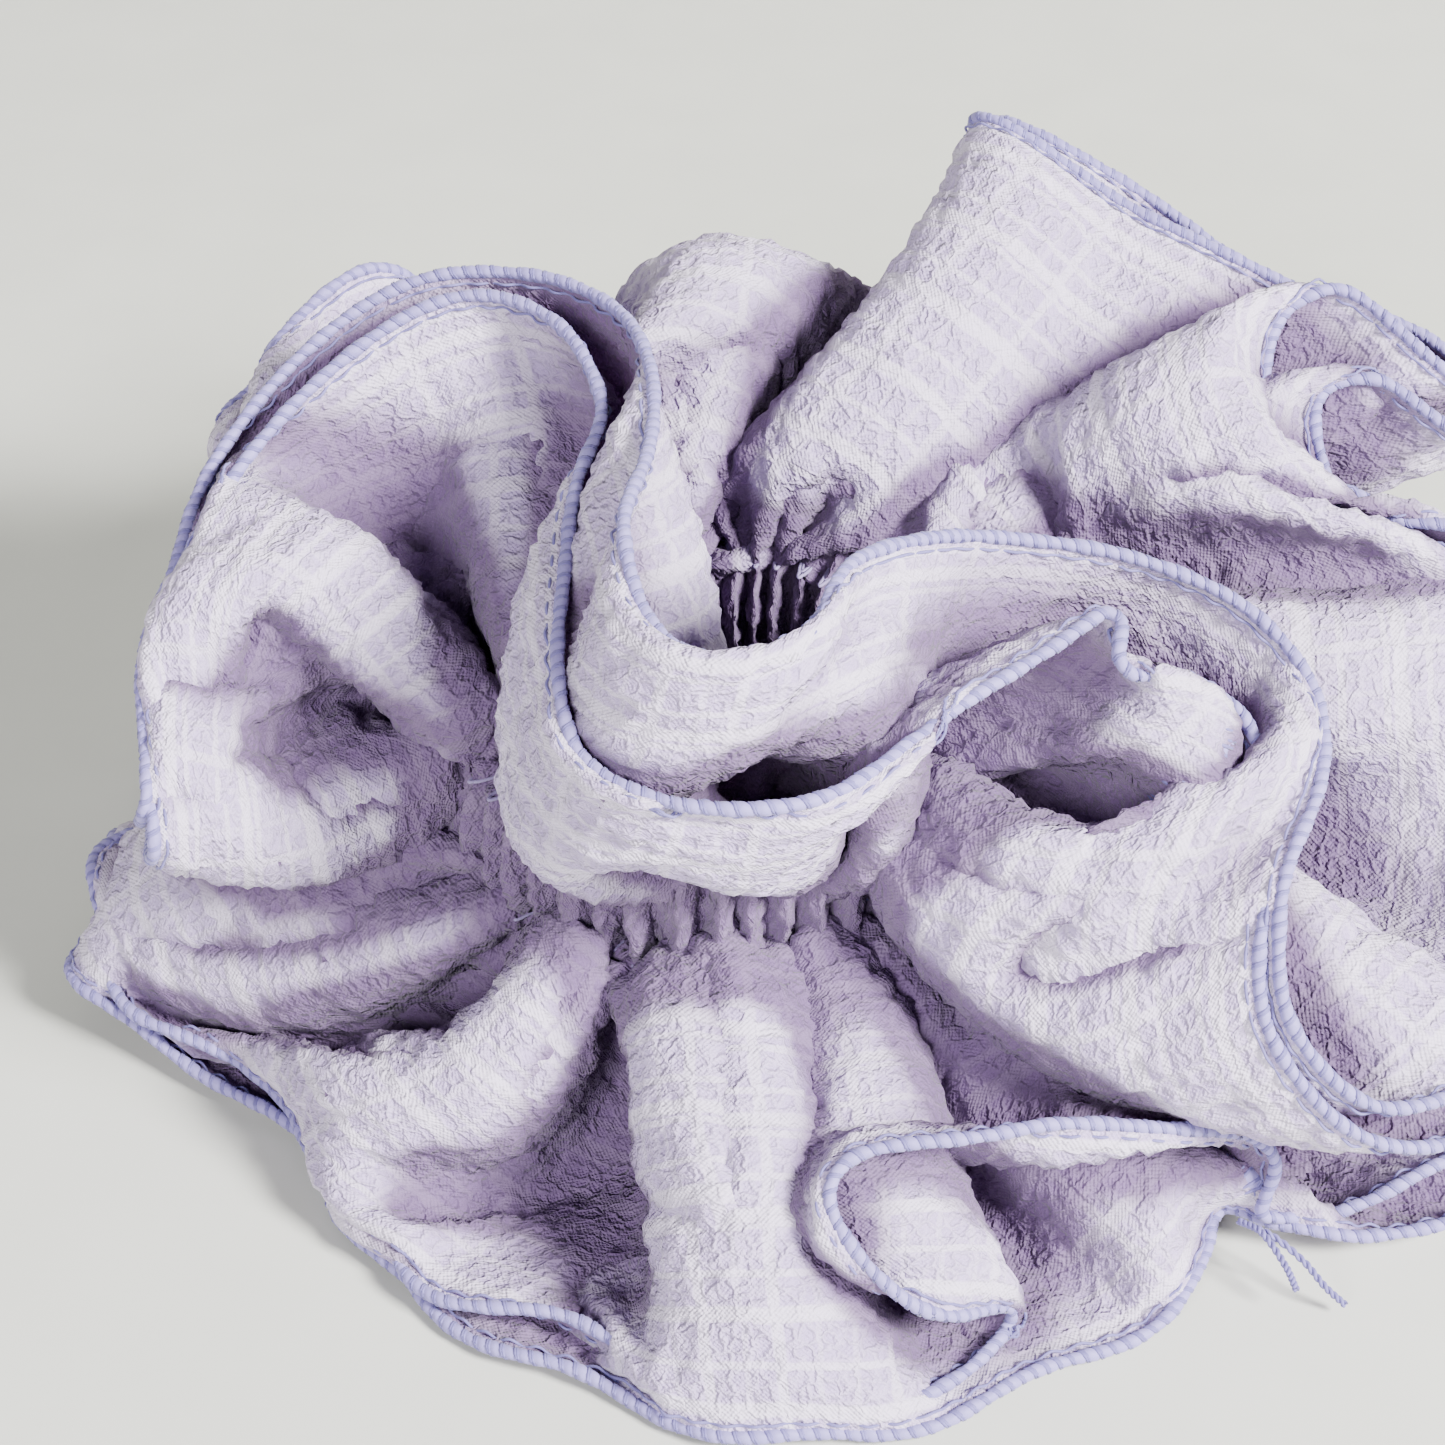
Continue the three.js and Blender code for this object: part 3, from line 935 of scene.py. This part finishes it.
def edging_piece(name, grid, rim_row, next_row):
    """Rolled hem: a puffed rope, the thread wound over it, and its needle lines."""
    rim = smooth_path(grid[:, rim_row], 3000)
    inside = smooth_path(grid[:, next_row], 3000)
    packed, along, length = even_closed(rim, 0.36)
    inward, up = local_axes(packed, inside[nearest_along(rim, packed)] - packed)
    turns = int(round(length / STITCH_PITCH))
    phase = along / length * turns * 2 * math.pi
    uneven = 1 + 0.08 * np.sin(phase * 0.31 + 1) + 0.06 * np.sin(phase * 0.173)
    parts = [rope_part(packed, inward, up, phase, uneven)]
    parts += thread_parts(packed, inward, up, uneven, turns)
    return joined_piece(name, parts)


def nearest_along(reference, path):
    """Index of the reference sample at the same fraction of the way round as each path sample."""
    fraction = arc_fraction(path)
    own = arc_fraction(reference)
    return np.clip(np.searchsorted(own, fraction), 0, len(reference) - 1)


def arc_fraction(path):
    steps = np.linalg.norm(np.roll(path, -1, axis=0) - path, axis=1)
    return np.concatenate([[0], np.cumsum(steps)[:-1]]) / steps.sum()


# ---- casing threads ----
def casing_thread(name, height, side, phase):
    """One thread of the lockstitch that gathers the casing, dipping in at each stitch."""
    count = 5200
    t = np.arange(count) / count
    wave = smooth_path(pleat_wave(COLUMNS)[:, None], count)[:, 0]
    dip = np.abs(np.sin(math.pi * CASING_STITCHES * t + phase)) ** 0.6
    radius = RING_RADIUS + PLEAT_DEPTH * wave + side * (0.35 + 0.45 * dip)
    points, faces = tube(on_ring(radius, clockwise(count), height), 0.2, 6)
    return joined_piece(name, [(points, faces, 0)])


# ---- elastic ----
def elastic_surface(along, angle, radius, sides):
    """The band's skin: a flat rounded section with ribs along it and a knit across them."""
    a = np.arange(sides) * 2 * math.pi / sides
    across = np.sign(np.cos(a)) * np.abs(np.cos(a)) ** 0.35 * ELASTIC_HALF_WIDTH
    depth = np.sign(np.sin(a)) * np.abs(np.sin(a)) ** 0.35 * ELASTIC_HALF_THICK
    rib = 0.07 * np.cos(across * 2 * math.pi / 0.95)
    knit = 0.05 * np.cos(along[:, None] * 2 * math.pi / 0.9 + across[None, :] * 3.3)
    out = depth[None, :] + np.sign(depth)[None, :] * (rib[None, :] + knit)
    middle = (UPPER_SEAM + LOWER_SEAM) / 2
    return on_ring(radius[:, None] + out, angle[:, None], middle + across[None, :])


def elastic_piece():
    """Flat knitted elastic ring with ribbed cords, lapped end over end."""
    columns = 900
    sides = 40
    t = np.linspace(0, 1, columns)
    angle = math.radians(80) - t * (2 * math.pi + ELASTIC_LAP)
    radius = RING_RADIUS + 0.75 * np.tanh((t * 2 - 1) * 1.6)
    along = t * (2 * math.pi + ELASTIC_LAP) * RING_RADIUS
    points = elastic_surface(along, angle, radius, sides).reshape(-1, 3)
    i = np.arange(columns - 1)[:, None]
    j = np.arange(sides)[None, :]
    m = (j + 1) % sides
    faces = quad_rows([i * sides + j, (i + 1) * sides + j, (i + 1) * sides + m, i * sides + m])
    faces = np.concatenate([faces, end_caps(columns, sides)])
    return joined_piece("elastic", [(points, faces, 0)])


def tack_piece():
    """Zigzag stitches through the elastic's lap, at the front of its box."""
    low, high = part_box("elastic_tack")
    centre = (np.array(low) + np.array(high)) / 2 * 1000
    local = centre - np.array([AXIS_X, AXIS_Y, 0]) * 1000
    angle0 = math.atan2(local[1], local[0])
    count = 160
    t = np.linspace(0, 1, count)
    z = (UPPER_SEAM + LOWER_SEAM) / 2 + (t * 2 - 1) * 2.7
    zig = np.abs((t * 9) % 2 - 1) * 2 - 1
    angle = angle0 + zig * 0.09
    parts = []
    for side in (1, -1):
        lift = side * (1.55 + 0.12 * np.cos(t * 9 * math.pi))
        points, faces = tube(on_ring(RING_RADIUS + lift, angle, z), 0.24, 6, False)
        parts.append((points, faces, 0))
    return joined_piece("tack", parts)


# ---- closing seams ----
def nearest_column(path, point):
    return int(np.argmin(np.linalg.norm(path - np.array(point, float), axis=1)))


def closing_seam(name, grid, column, side):
    """Overlocked allowance along one grid line of a strip, folded flat on its wrong side."""
    columns, rows = grid.shape[:2]
    normal = surface_normals(grid)
    skip = 3
    line = grid[column, skip:rows - skip]
    out = normal[column, skip:rows - skip] * side
    beside = grid[(column + 3) % columns, skip:rows - skip] - line
    beside = unit(beside)
    samples = (rows - 2 * skip) * 3
    line = cubic_resample(line, samples, 0, False)
    out = unit(cubic_resample(out, samples, 0, False))
    beside = unit(cubic_resample(beside, samples, 0, False))
    line = line + out * 0.55
    width = 1.5
    sides = 16
    a = np.arange(sides) * 2 * math.pi / sides
    s = np.arange(samples) / 3 * FINE_STEP
    ripple = 1 + 0.10 * np.sin(s * 2 * math.pi / 2.1)
    cx = np.cos(a) * width
    cy = np.sin(a) * 0.34
    points = line[:, None] + beside[:, None] * (cx[None, :] * ripple[:, None])[..., None]
    points = points + out[:, None] * cy[None, :, None]
    faces = tube(line, 1.0, sides, False)[1]
    parts = [(points.reshape(-1, 3), faces, 0)]
    turn = s * 2 * math.pi / 2.1
    for lag in (0.0, 2.6):
        path = line + beside * (np.cos(turn + lag) * 1.58)[:, None]
        path = path + out * (np.sin(turn + lag) * 0.42)[:, None]
        tube_points, tube_faces = tube(path, 0.19, 6, False)
        parts.append((tube_points, tube_faces, 1))
    return joined_piece(name, parts)


def thread_tail(name, points, radius):
    """A loose end of twisted overlock thread."""
    path = open_curve(points, 90)
    t = np.arange(len(path))
    parts = []
    tangent = unit(np.gradient(path, axis=0))
    side = unit(np.cross(tangent, np.array([0.0, 0.3, 1.0])))
    other = np.cross(tangent, side)
    for lag in (0.0, math.pi):
        turn = t * 0.55 + lag
        strand = path + side * (np.cos(turn) * radius * 0.55)[:, None]
        strand = strand + other * (np.sin(turn) * radius * 0.55)[:, None]
        tube_points, tube_faces = tube(strand, radius * 0.6, 8, False)
        parts.append((tube_points, tube_faces, 0))
    return joined_piece(name, parts)


def open_curve(points, samples):
    return cubic_resample(np.array(points, float), samples, 0, False)


# ---- node helpers ----
def node(tree, kind, **values):
    made = tree.nodes.new(kind)
    for name, value in values.items():
        setattr(made, name, value)
    return made


def math_node(tree, operation, a, b=None, clamp=False):
    made = node(tree, "ShaderNodeMath", operation=operation, use_clamp=clamp)
    for socket, value in zip(made.inputs, (a, b)):
        if value is None:
            continue
        if isinstance(value, (int, float)):
            socket.default_value = value
        else:
            tree.links.new(value, socket)
    return made.outputs[0]


def smooth_step(tree, value, low, high):
    made = node(tree, "ShaderNodeMapRange", interpolation_type="SMOOTHSTEP")
    tree.links.new(value, made.inputs["Value"])
    made.inputs["From Min"].default_value = low
    made.inputs["From Max"].default_value = high
    return made.outputs["Result"]


def mix_colour(tree, factor, a, b):
    made = node(tree, "ShaderNodeMix", data_type="RGBA")
    for socket, value in ((made.inputs[0], factor), (made.inputs[6], a), (made.inputs[7], b)):
        if isinstance(value, (int, float)):
            socket.default_value = value
        elif isinstance(value, tuple):
            socket.default_value = (*value, 1)
        else:
            tree.links.new(value, socket)
    return made.outputs[2]


def linear(red, green, blue):
    """Screen colour from 0 to 255 into the renderer's own linear values."""
    out = []
    for value in (red, green, blue):
        value = value / 255
        out.append(value / 12.92 if value < 0.04045 else ((value + 0.055) / 1.055) ** 2.4)
    return tuple(out)


def start_material(name, roughness):
    mat = bpy.data.materials.new(name)
    mat.use_nodes = True
    tree = mat.node_tree
    shader = tree.nodes["Principled BSDF"]
    shader.inputs["Roughness"].default_value = roughness
    return mat, tree, shader


def scaled_by(tree, value, factor):
    return math_node(tree, "MULTIPLY", value, factor)


def noise_node(tree, place, scale, detail=2.0):
    made = node(tree, "ShaderNodeTexNoise")
    made.inputs["Scale"].default_value = scale
    made.inputs["Detail"].default_value = detail
    tree.links.new(place, made.inputs["Vector"])
    return made


def bump_node(tree, height, strength, distance):
    made = node(tree, "ShaderNodeBump")
    made.inputs["Strength"].default_value = strength
    made.inputs["Distance"].default_value = distance
    tree.links.new(height, made.inputs["Height"])
    return made.outputs[0]


# ---- cloth material ----
def bands(tree, coordinate, pitch, width, wander):
    """Soft-edged lines every pitch along one flat coordinate, 1 on a line."""
    moved = math_node(tree, "ADD", coordinate, wander)
    share = math_node(tree, "FRACT", math_node(tree, "DIVIDE", moved, pitch))
    away = math_node(tree, "ABSOLUTE", math_node(tree, "SUBTRACT", share, 0.5))
    edge = width / pitch / 2
    return smooth_step(tree, away, edge * 1.35, edge * 0.75)


def woven_check(tree, mm, u, v):
    """Where the check's thicker yarns run, from 0 to 1."""
    drift = noise_node(tree, mm, 0.09)
    wander = scaled_by(tree, drift.outputs["Fac"], 1.6)
    wide = bands(tree, v, 9.5, 1.5, wander)
    narrow = bands(tree, v, 4.5, 0.7, wander)
    cross = bands(tree, u, 3.5, 0.55, wander)
    cross_wide = bands(tree, u, 11.0, 1.0, wander)
    along = math_node(tree, "MAXIMUM", wide, scaled_by(tree, narrow, 0.8))
    over = math_node(tree, "MAXIMUM", scaled_by(tree, cross, 0.5), cross_wide)
    return math_node(tree, "MAXIMUM", along, scaled_by(tree, over, 0.8))


def crepe_ridge(tree, mm):
    """The crepe's finest ridges, which are bump and not mesh."""
    warp = noise_node(tree, mm, 0.8)
    push = node(tree, "ShaderNodeVectorMath", operation="MULTIPLY_ADD")
    tree.links.new(warp.outputs["Color"], push.inputs[0])
    push.inputs[1].default_value = (1.6, 1.6, 0)
    tree.links.new(mm, push.inputs[2])
    crepe = node(tree, "ShaderNodeTexVoronoi", feature="DISTANCE_TO_EDGE")
    crepe.inputs["Scale"].default_value = 0.62
    tree.links.new(push.outputs[0], crepe.inputs["Vector"])
    return smooth_step(tree, crepe.outputs["Distance"], 0.22, 0.02)


def cloth_relief(tree, mm, u, v, check, ridge):
    """Bump: crepe and grain, calmer on the check's yarns, with the yarns and the weave added."""
    grain = noise_node(tree, mm, 2.6, 3.0)
    calm = math_node(tree, "SUBTRACT", 1.0, scaled_by(tree, check, 0.6))
    rough = math_node(tree, "ADD", ridge, grain.outputs["Fac"])
    relief = math_node(tree, "MULTIPLY", rough, calm)
    relief = math_node(tree, "ADD", relief, scaled_by(tree, check, 0.5))
    warp_yarn = math_node(tree, "SINE", scaled_by(tree, u, 2 * math.pi / YARN_PITCH))
    weft_yarn = math_node(tree, "SINE", scaled_by(tree, v, 2 * math.pi / YARN_PITCH))
    weave = scaled_by(tree, math_node(tree, "MULTIPLY", warp_yarn, weft_yarn), 0.12)
    return bump_node(tree, math_node(tree, "ADD", relief, weave), 0.65, 0.0006)


def cloth_colour(tree, mm, check, ridge):
    """Lavender, paler on yarns, paler on ridges as painted highlight, plum painted shade where other cloth
    closes it in.
    """
    pale = linear(222, 212, 233)
    tint = noise_node(tree, mm, 0.035, 3.0)
    base = mix_colour(tree, tint.outputs["Fac"], linear(184, 163, 212), linear(197, 180, 221))
    base = mix_colour(tree, scaled_by(tree, check, 0.85), base, pale)
    # painted highlight: paler on the crepe's raised ridges
    base = mix_colour(tree, scaled_by(tree, ridge, 0.25), base, pale)
    # painted shade: the colour darkens towards plum where other cloth closes the place in
    painted_shade_amount = node(tree, "ShaderNodeAttribute", attribute_name="painted_shade_enclosure")
    depth = smooth_step(tree, painted_shade_amount.outputs["Fac"], 0.11, 0.66)
    return mix_colour(tree, scaled_by(tree, depth, 0.88), base, linear(100, 74, 116))


def cloth_material():
    """Sheer crinkled cotton with a woven check of thicker yarns."""
    mat, tree, shader = start_material("lavender_crepe", 0.86)
    links = tree.links
    flat = node(tree, "ShaderNodeUVMap", uv_map="flat")
    scaled = node(tree, "ShaderNodeVectorMath", operation="SCALE")
    links.new(flat.outputs[0], scaled.inputs[0])
    scaled.inputs["Scale"].default_value = 10.0
    mm = scaled.outputs[0]
    split = node(tree, "ShaderNodeSeparateXYZ")
    links.new(mm, split.inputs[0])
    u = split.outputs[0]
    v = split.outputs[1]
    check = woven_check(tree, mm, u, v)
    ridge = crepe_ridge(tree, mm)
    bump = cloth_relief(tree, mm, u, v, check, ridge)
    links.new(cloth_colour(tree, mm, check, ridge), shader.inputs["Base Color"])
    links.new(bump, shader.inputs["Normal"])
    shader.inputs["Sheen Weight"].default_value = 0.12
    shader.inputs["Sheen Roughness"].default_value = 0.5
    shader.inputs["Specular IOR Level"].default_value = 0.2
    through = node(tree, "ShaderNodeBsdfTranslucent")
    glow = mix_colour(tree, check, linear(192, 144, 200), linear(156, 110, 170))
    links.new(glow, through.inputs["Color"])
    links.new(bump, through.inputs["Normal"])
    blend = node(tree, "ShaderNodeMixShader")
    blend.inputs[0].default_value = 0.18
    links.new(shader.outputs[0], blend.inputs[1])
    links.new(through.outputs[0], blend.inputs[2])
    links.new(blend.outputs[0], tree.nodes["Material Output"].inputs["Surface"])
    return mat


def thread_material(name, colour, dark, scale):
    """Twisted sewing thread."""
    mat, tree, shader = start_material(name, 0.62)
    place = node(tree, "ShaderNodeTexCoord").outputs["Object"]
    shade = noise_node(tree, place, scale, 3.0)
    tint = mix_colour(tree, shade.outputs["Fac"], dark, colour)
    tree.links.new(tint, shader.inputs["Base Color"])
    fuzz = noise_node(tree, place, scale * 5)
    bump = bump_node(tree, fuzz.outputs["Fac"], 0.5, 0.0001)
    tree.links.new(bump, shader.inputs["Normal"])
    shader.inputs["Sheen Weight"].default_value = 0.15
    shader.inputs["Specular IOR Level"].default_value = 0.35
    return mat


# ---- putting it together ----
def ride_stretch(obj):
    """Fabric that stretches with the ring; here only its transform is baked into its mesh."""
    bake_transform(obj)


def finish_piece(obj, materials, nodes):
    for mat in materials:
        obj.data.materials.append(mat)
    ride_stretch(obj)
    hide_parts(*nodes)


def area_light(name, place, target, size, power, colour):
    data = bpy.data.lights.new(name, "AREA")
    data.shape = "RECTANGLE"
    data.size = size[0]
    data.size_y = size[1]
    data.energy = power
    data.color = colour
    obj = bpy.data.objects.new(name, data)
    obj.location = place
    direction = Vector(target) - Vector(place)
    obj.rotation_euler = direction.to_track_quat("-Z", "Y").to_euler()
    bpy.context.scene.collection.objects.link(obj)


def floor():
    """A wide pale floor that curves up into a backdrop."""
    profile = [(-2.5, 0.0), (0.35, 0.0)]
    profile += [(0.35 + 0.25 * math.sin(a), 0.25 - 0.25 * math.cos(a)) for a in np.linspace(0.1, 1.57, 12)]
    profile += [(0.6, 1.4)]
    points = []
    for y, z in profile:
        points += [(-2.5, y, z), (2.5, y, z)]
    faces = [(2 * k, 2 * k + 1, 2 * k + 3, 2 * k + 2) for k in range(len(profile) - 1)]
    mesh = bpy.data.meshes.new("floor")
    mesh.from_pydata(points, [], faces)
    for polygon in mesh.polygons:
        polygon.use_smooth = True
    obj = bpy.data.objects.new("floor", mesh)
    bpy.context.scene.collection.objects.link(obj)
    mat, tree, shader = start_material("plaster", 0.9)
    place = node(tree, "ShaderNodeTexCoord").outputs["Object"]
    mottle = noise_node(tree, place, 60.0, 5.0)
    tint = mix_colour(tree, mottle.outputs["Fac"], linear(188, 189, 182), linear(198, 199, 192))
    tree.links.new(tint, shader.inputs["Base Color"])
    mesh.materials.append(mat)


def camera():
    elevation = math.radians(CAMERA_ELEVATION)
    target = Vector((AXIS_X, AXIS_Y, 0.033))
    back = Vector((0, -math.cos(elevation), math.sin(elevation))) * CAMERA_DISTANCE
    data = bpy.data.cameras.new("camera")
    data.lens = CAMERA_LENS
    data.sensor_width = 36
    obj = bpy.data.objects.new("camera", data)
    obj.location = target + back
    obj.rotation_euler = (-back).to_track_quat("-Z", "Y").to_euler()
    bpy.context.scene.collection.objects.link(obj)
    bpy.context.scene.camera = obj


def lights():
    centre = (AXIS_X, AXIS_Y, 0.03)
    area_light("window", (0.80, -0.55, 0.72), centre, (0.34, 0.34), 72, (1.0, 0.99, 0.975))
    area_light("front", (-0.35, -1.00, 0.55), centre, (0.45, 0.45), 20, (0.99, 0.985, 1.0))
    world = bpy.data.worlds.new("world")
    world.use_nodes = True
    background = world.node_tree.nodes["Background"]
    background.inputs["Color"].default_value = (*linear(232, 226, 244), 1)
    background.inputs["Strength"].default_value = 0.03
    bpy.context.scene.world = world


def ruffle_grids():
    """Both strips on the fine grid, settled, and how enclosed each place on them is, for the painted
    shade.
    """
    rims = [
        rim_curve(UPPER_INNER, UPPER_BOW, COLUMNS, UPPER_WAVES),
        rim_curve(UPPER_OUTER, UPPER_OUTER_BOW, COLUMNS, UPPER_WAVES),
        rim_curve(LOWER_INNER, LOWER_BOW, COLUMNS, LOWER_WAVES),
        rim_curve(LOWER_OUTER, LOWER_OUTER_BOW, COLUMNS, LOWER_WAVES),
    ]
    roots = [
        root_ring(COLUMNS, height, offset)
        for height in (UPPER_SEAM, LOWER_SEAM)
        for offset in (-SEAM_OFFSET, SEAM_OFFSET)
    ]
    starts = []
    folds = (UPPER_FOLDS, UPPER_FOLDS, LOWER_FOLDS, LOWER_FOLDS)
    for root, rim, sign, fold in zip(roots, rims, (-1, -1, 1, 1), folds):
        starts.append(start_ruffle(root, rim, ROWS, sign, fold))
    ruffles = settle(starts, rims)
    inner = whole_strip(ruffles[0], casing_rows(roots[0], roots[2], -1, 9), ruffles[2])
    outer = whole_strip(ruffles[1], casing_rows(roots[1], roots[3], 1, 9), ruffles[3])
    # how enclosed each place is, which sets the painted shade in the cloth's colour
    closed = painted_shade_enclosure(ruffles)
    inner_painted_shade = strip_painted_shade(closed[0], closed[2], INNER_CASING_PAINTED_SHADE)
    outer_painted_shade = strip_painted_shade(closed[1], closed[3], OUTER_CASING_PAINTED_SHADE)
    return inner, outer, inner_painted_shade, outer_painted_shade


def build():
    inner, outer, inner_painted_shade, outer_painted_shade = ruffle_grids()
    cloth = cloth_material()
    thread = thread_material("overlock_thread", linear(122, 114, 170), linear(94, 87, 143), 500)
    stitch = thread_material("sewing_thread", linear(150, 136, 178), linear(120, 106, 152), 500)
    webbing = thread_material("knitted_elastic", linear(238, 236, 240), linear(208, 204, 214), 300)
    edgings = {}
    for name, grid, row, beside in (
        ("inner_upper_edging", inner, 0, 3),
        ("inner_lower_edging", inner, -1, -4),
        ("outer_upper_edging", outer, 0, 3),
        ("outer_lower_edging", outer, -1, -4),
    ):
        obj = edging_piece(name + "_rolled", grid, row, beside)
        finish_piece(obj, [cloth_edge(), thread], [name])
        edgings.setdefault(name[:5], []).append(obj)
    for name, grid, painted_shade_amount, seed in (
        ("inner", inner, inner_painted_shade, 11),
        ("outer", outer, outer_painted_shade, 23),
    ):
        obj = cloth_piece(name + "_cloth", grid, painted_shade_amount, seed)
        finish_piece(obj, [cloth], [name + "_cloth_left", name + "_cloth_right"])
    for name, height, side, phase in (
        ("upper_casing_needle_thread", UPPER_SEAM + 0.1, 1, 0.0),
        ("upper_casing_bobbin_thread", UPPER_SEAM + 0.1, -1, 1.57),
        ("lower_casing_needle_thread", LOWER_SEAM - 0.1, 1, 0.0),
        ("lower_casing_bobbin_thread", LOWER_SEAM - 0.1, -1, 1.57),
    ):
        obj = casing_thread(name + "_stitches", height, side, phase)
        finish_piece(obj, [stitch], [name])
    finish_piece(elastic_piece(), [webbing], ["elastic_band"])
    finish_piece(tack_piece(), [stitch], ["elastic_tack"])
    seams(inner, outer, thread)


def cloth_edge():
    found = bpy.data.materials.get("rolled_edge")
    if found:
        return found
    return thread_material("rolled_edge", linear(149, 139, 194), linear(122, 113, 170), 420)


def seams(inner, outer, thread):
    """The two closing seams, and the loose thread ends where they meet the lower rim."""
    knot = (52, -45, 6)
    for name, grid in (("inner", inner), ("outer", outer)):
        obj = closing_seam(name + "_seam_overlock", grid, nearest_column(grid[:, -1], knot), -1)
        finish_piece(obj, [cloth_edge(), thread], [name + "_closing_seam"])
    tails = {
        "long": [(51, -46, 6), (54, -48, 6), (57, -50, 4.5), (59, -52, 3), (61, -53, 1.5)],
        "short": [(51, -46, 6), (53, -48, 6.4), (55, -51, 5.0), (56, -53, 3.6)],
    }
    for name, points in tails.items():
        obj = thread_tail(name + "_tail", points, TAIL_RADIUS)
        finish_piece(obj, [thread], ["seam_thread_tail_" + name])


build()
floor()
lights()
camera()
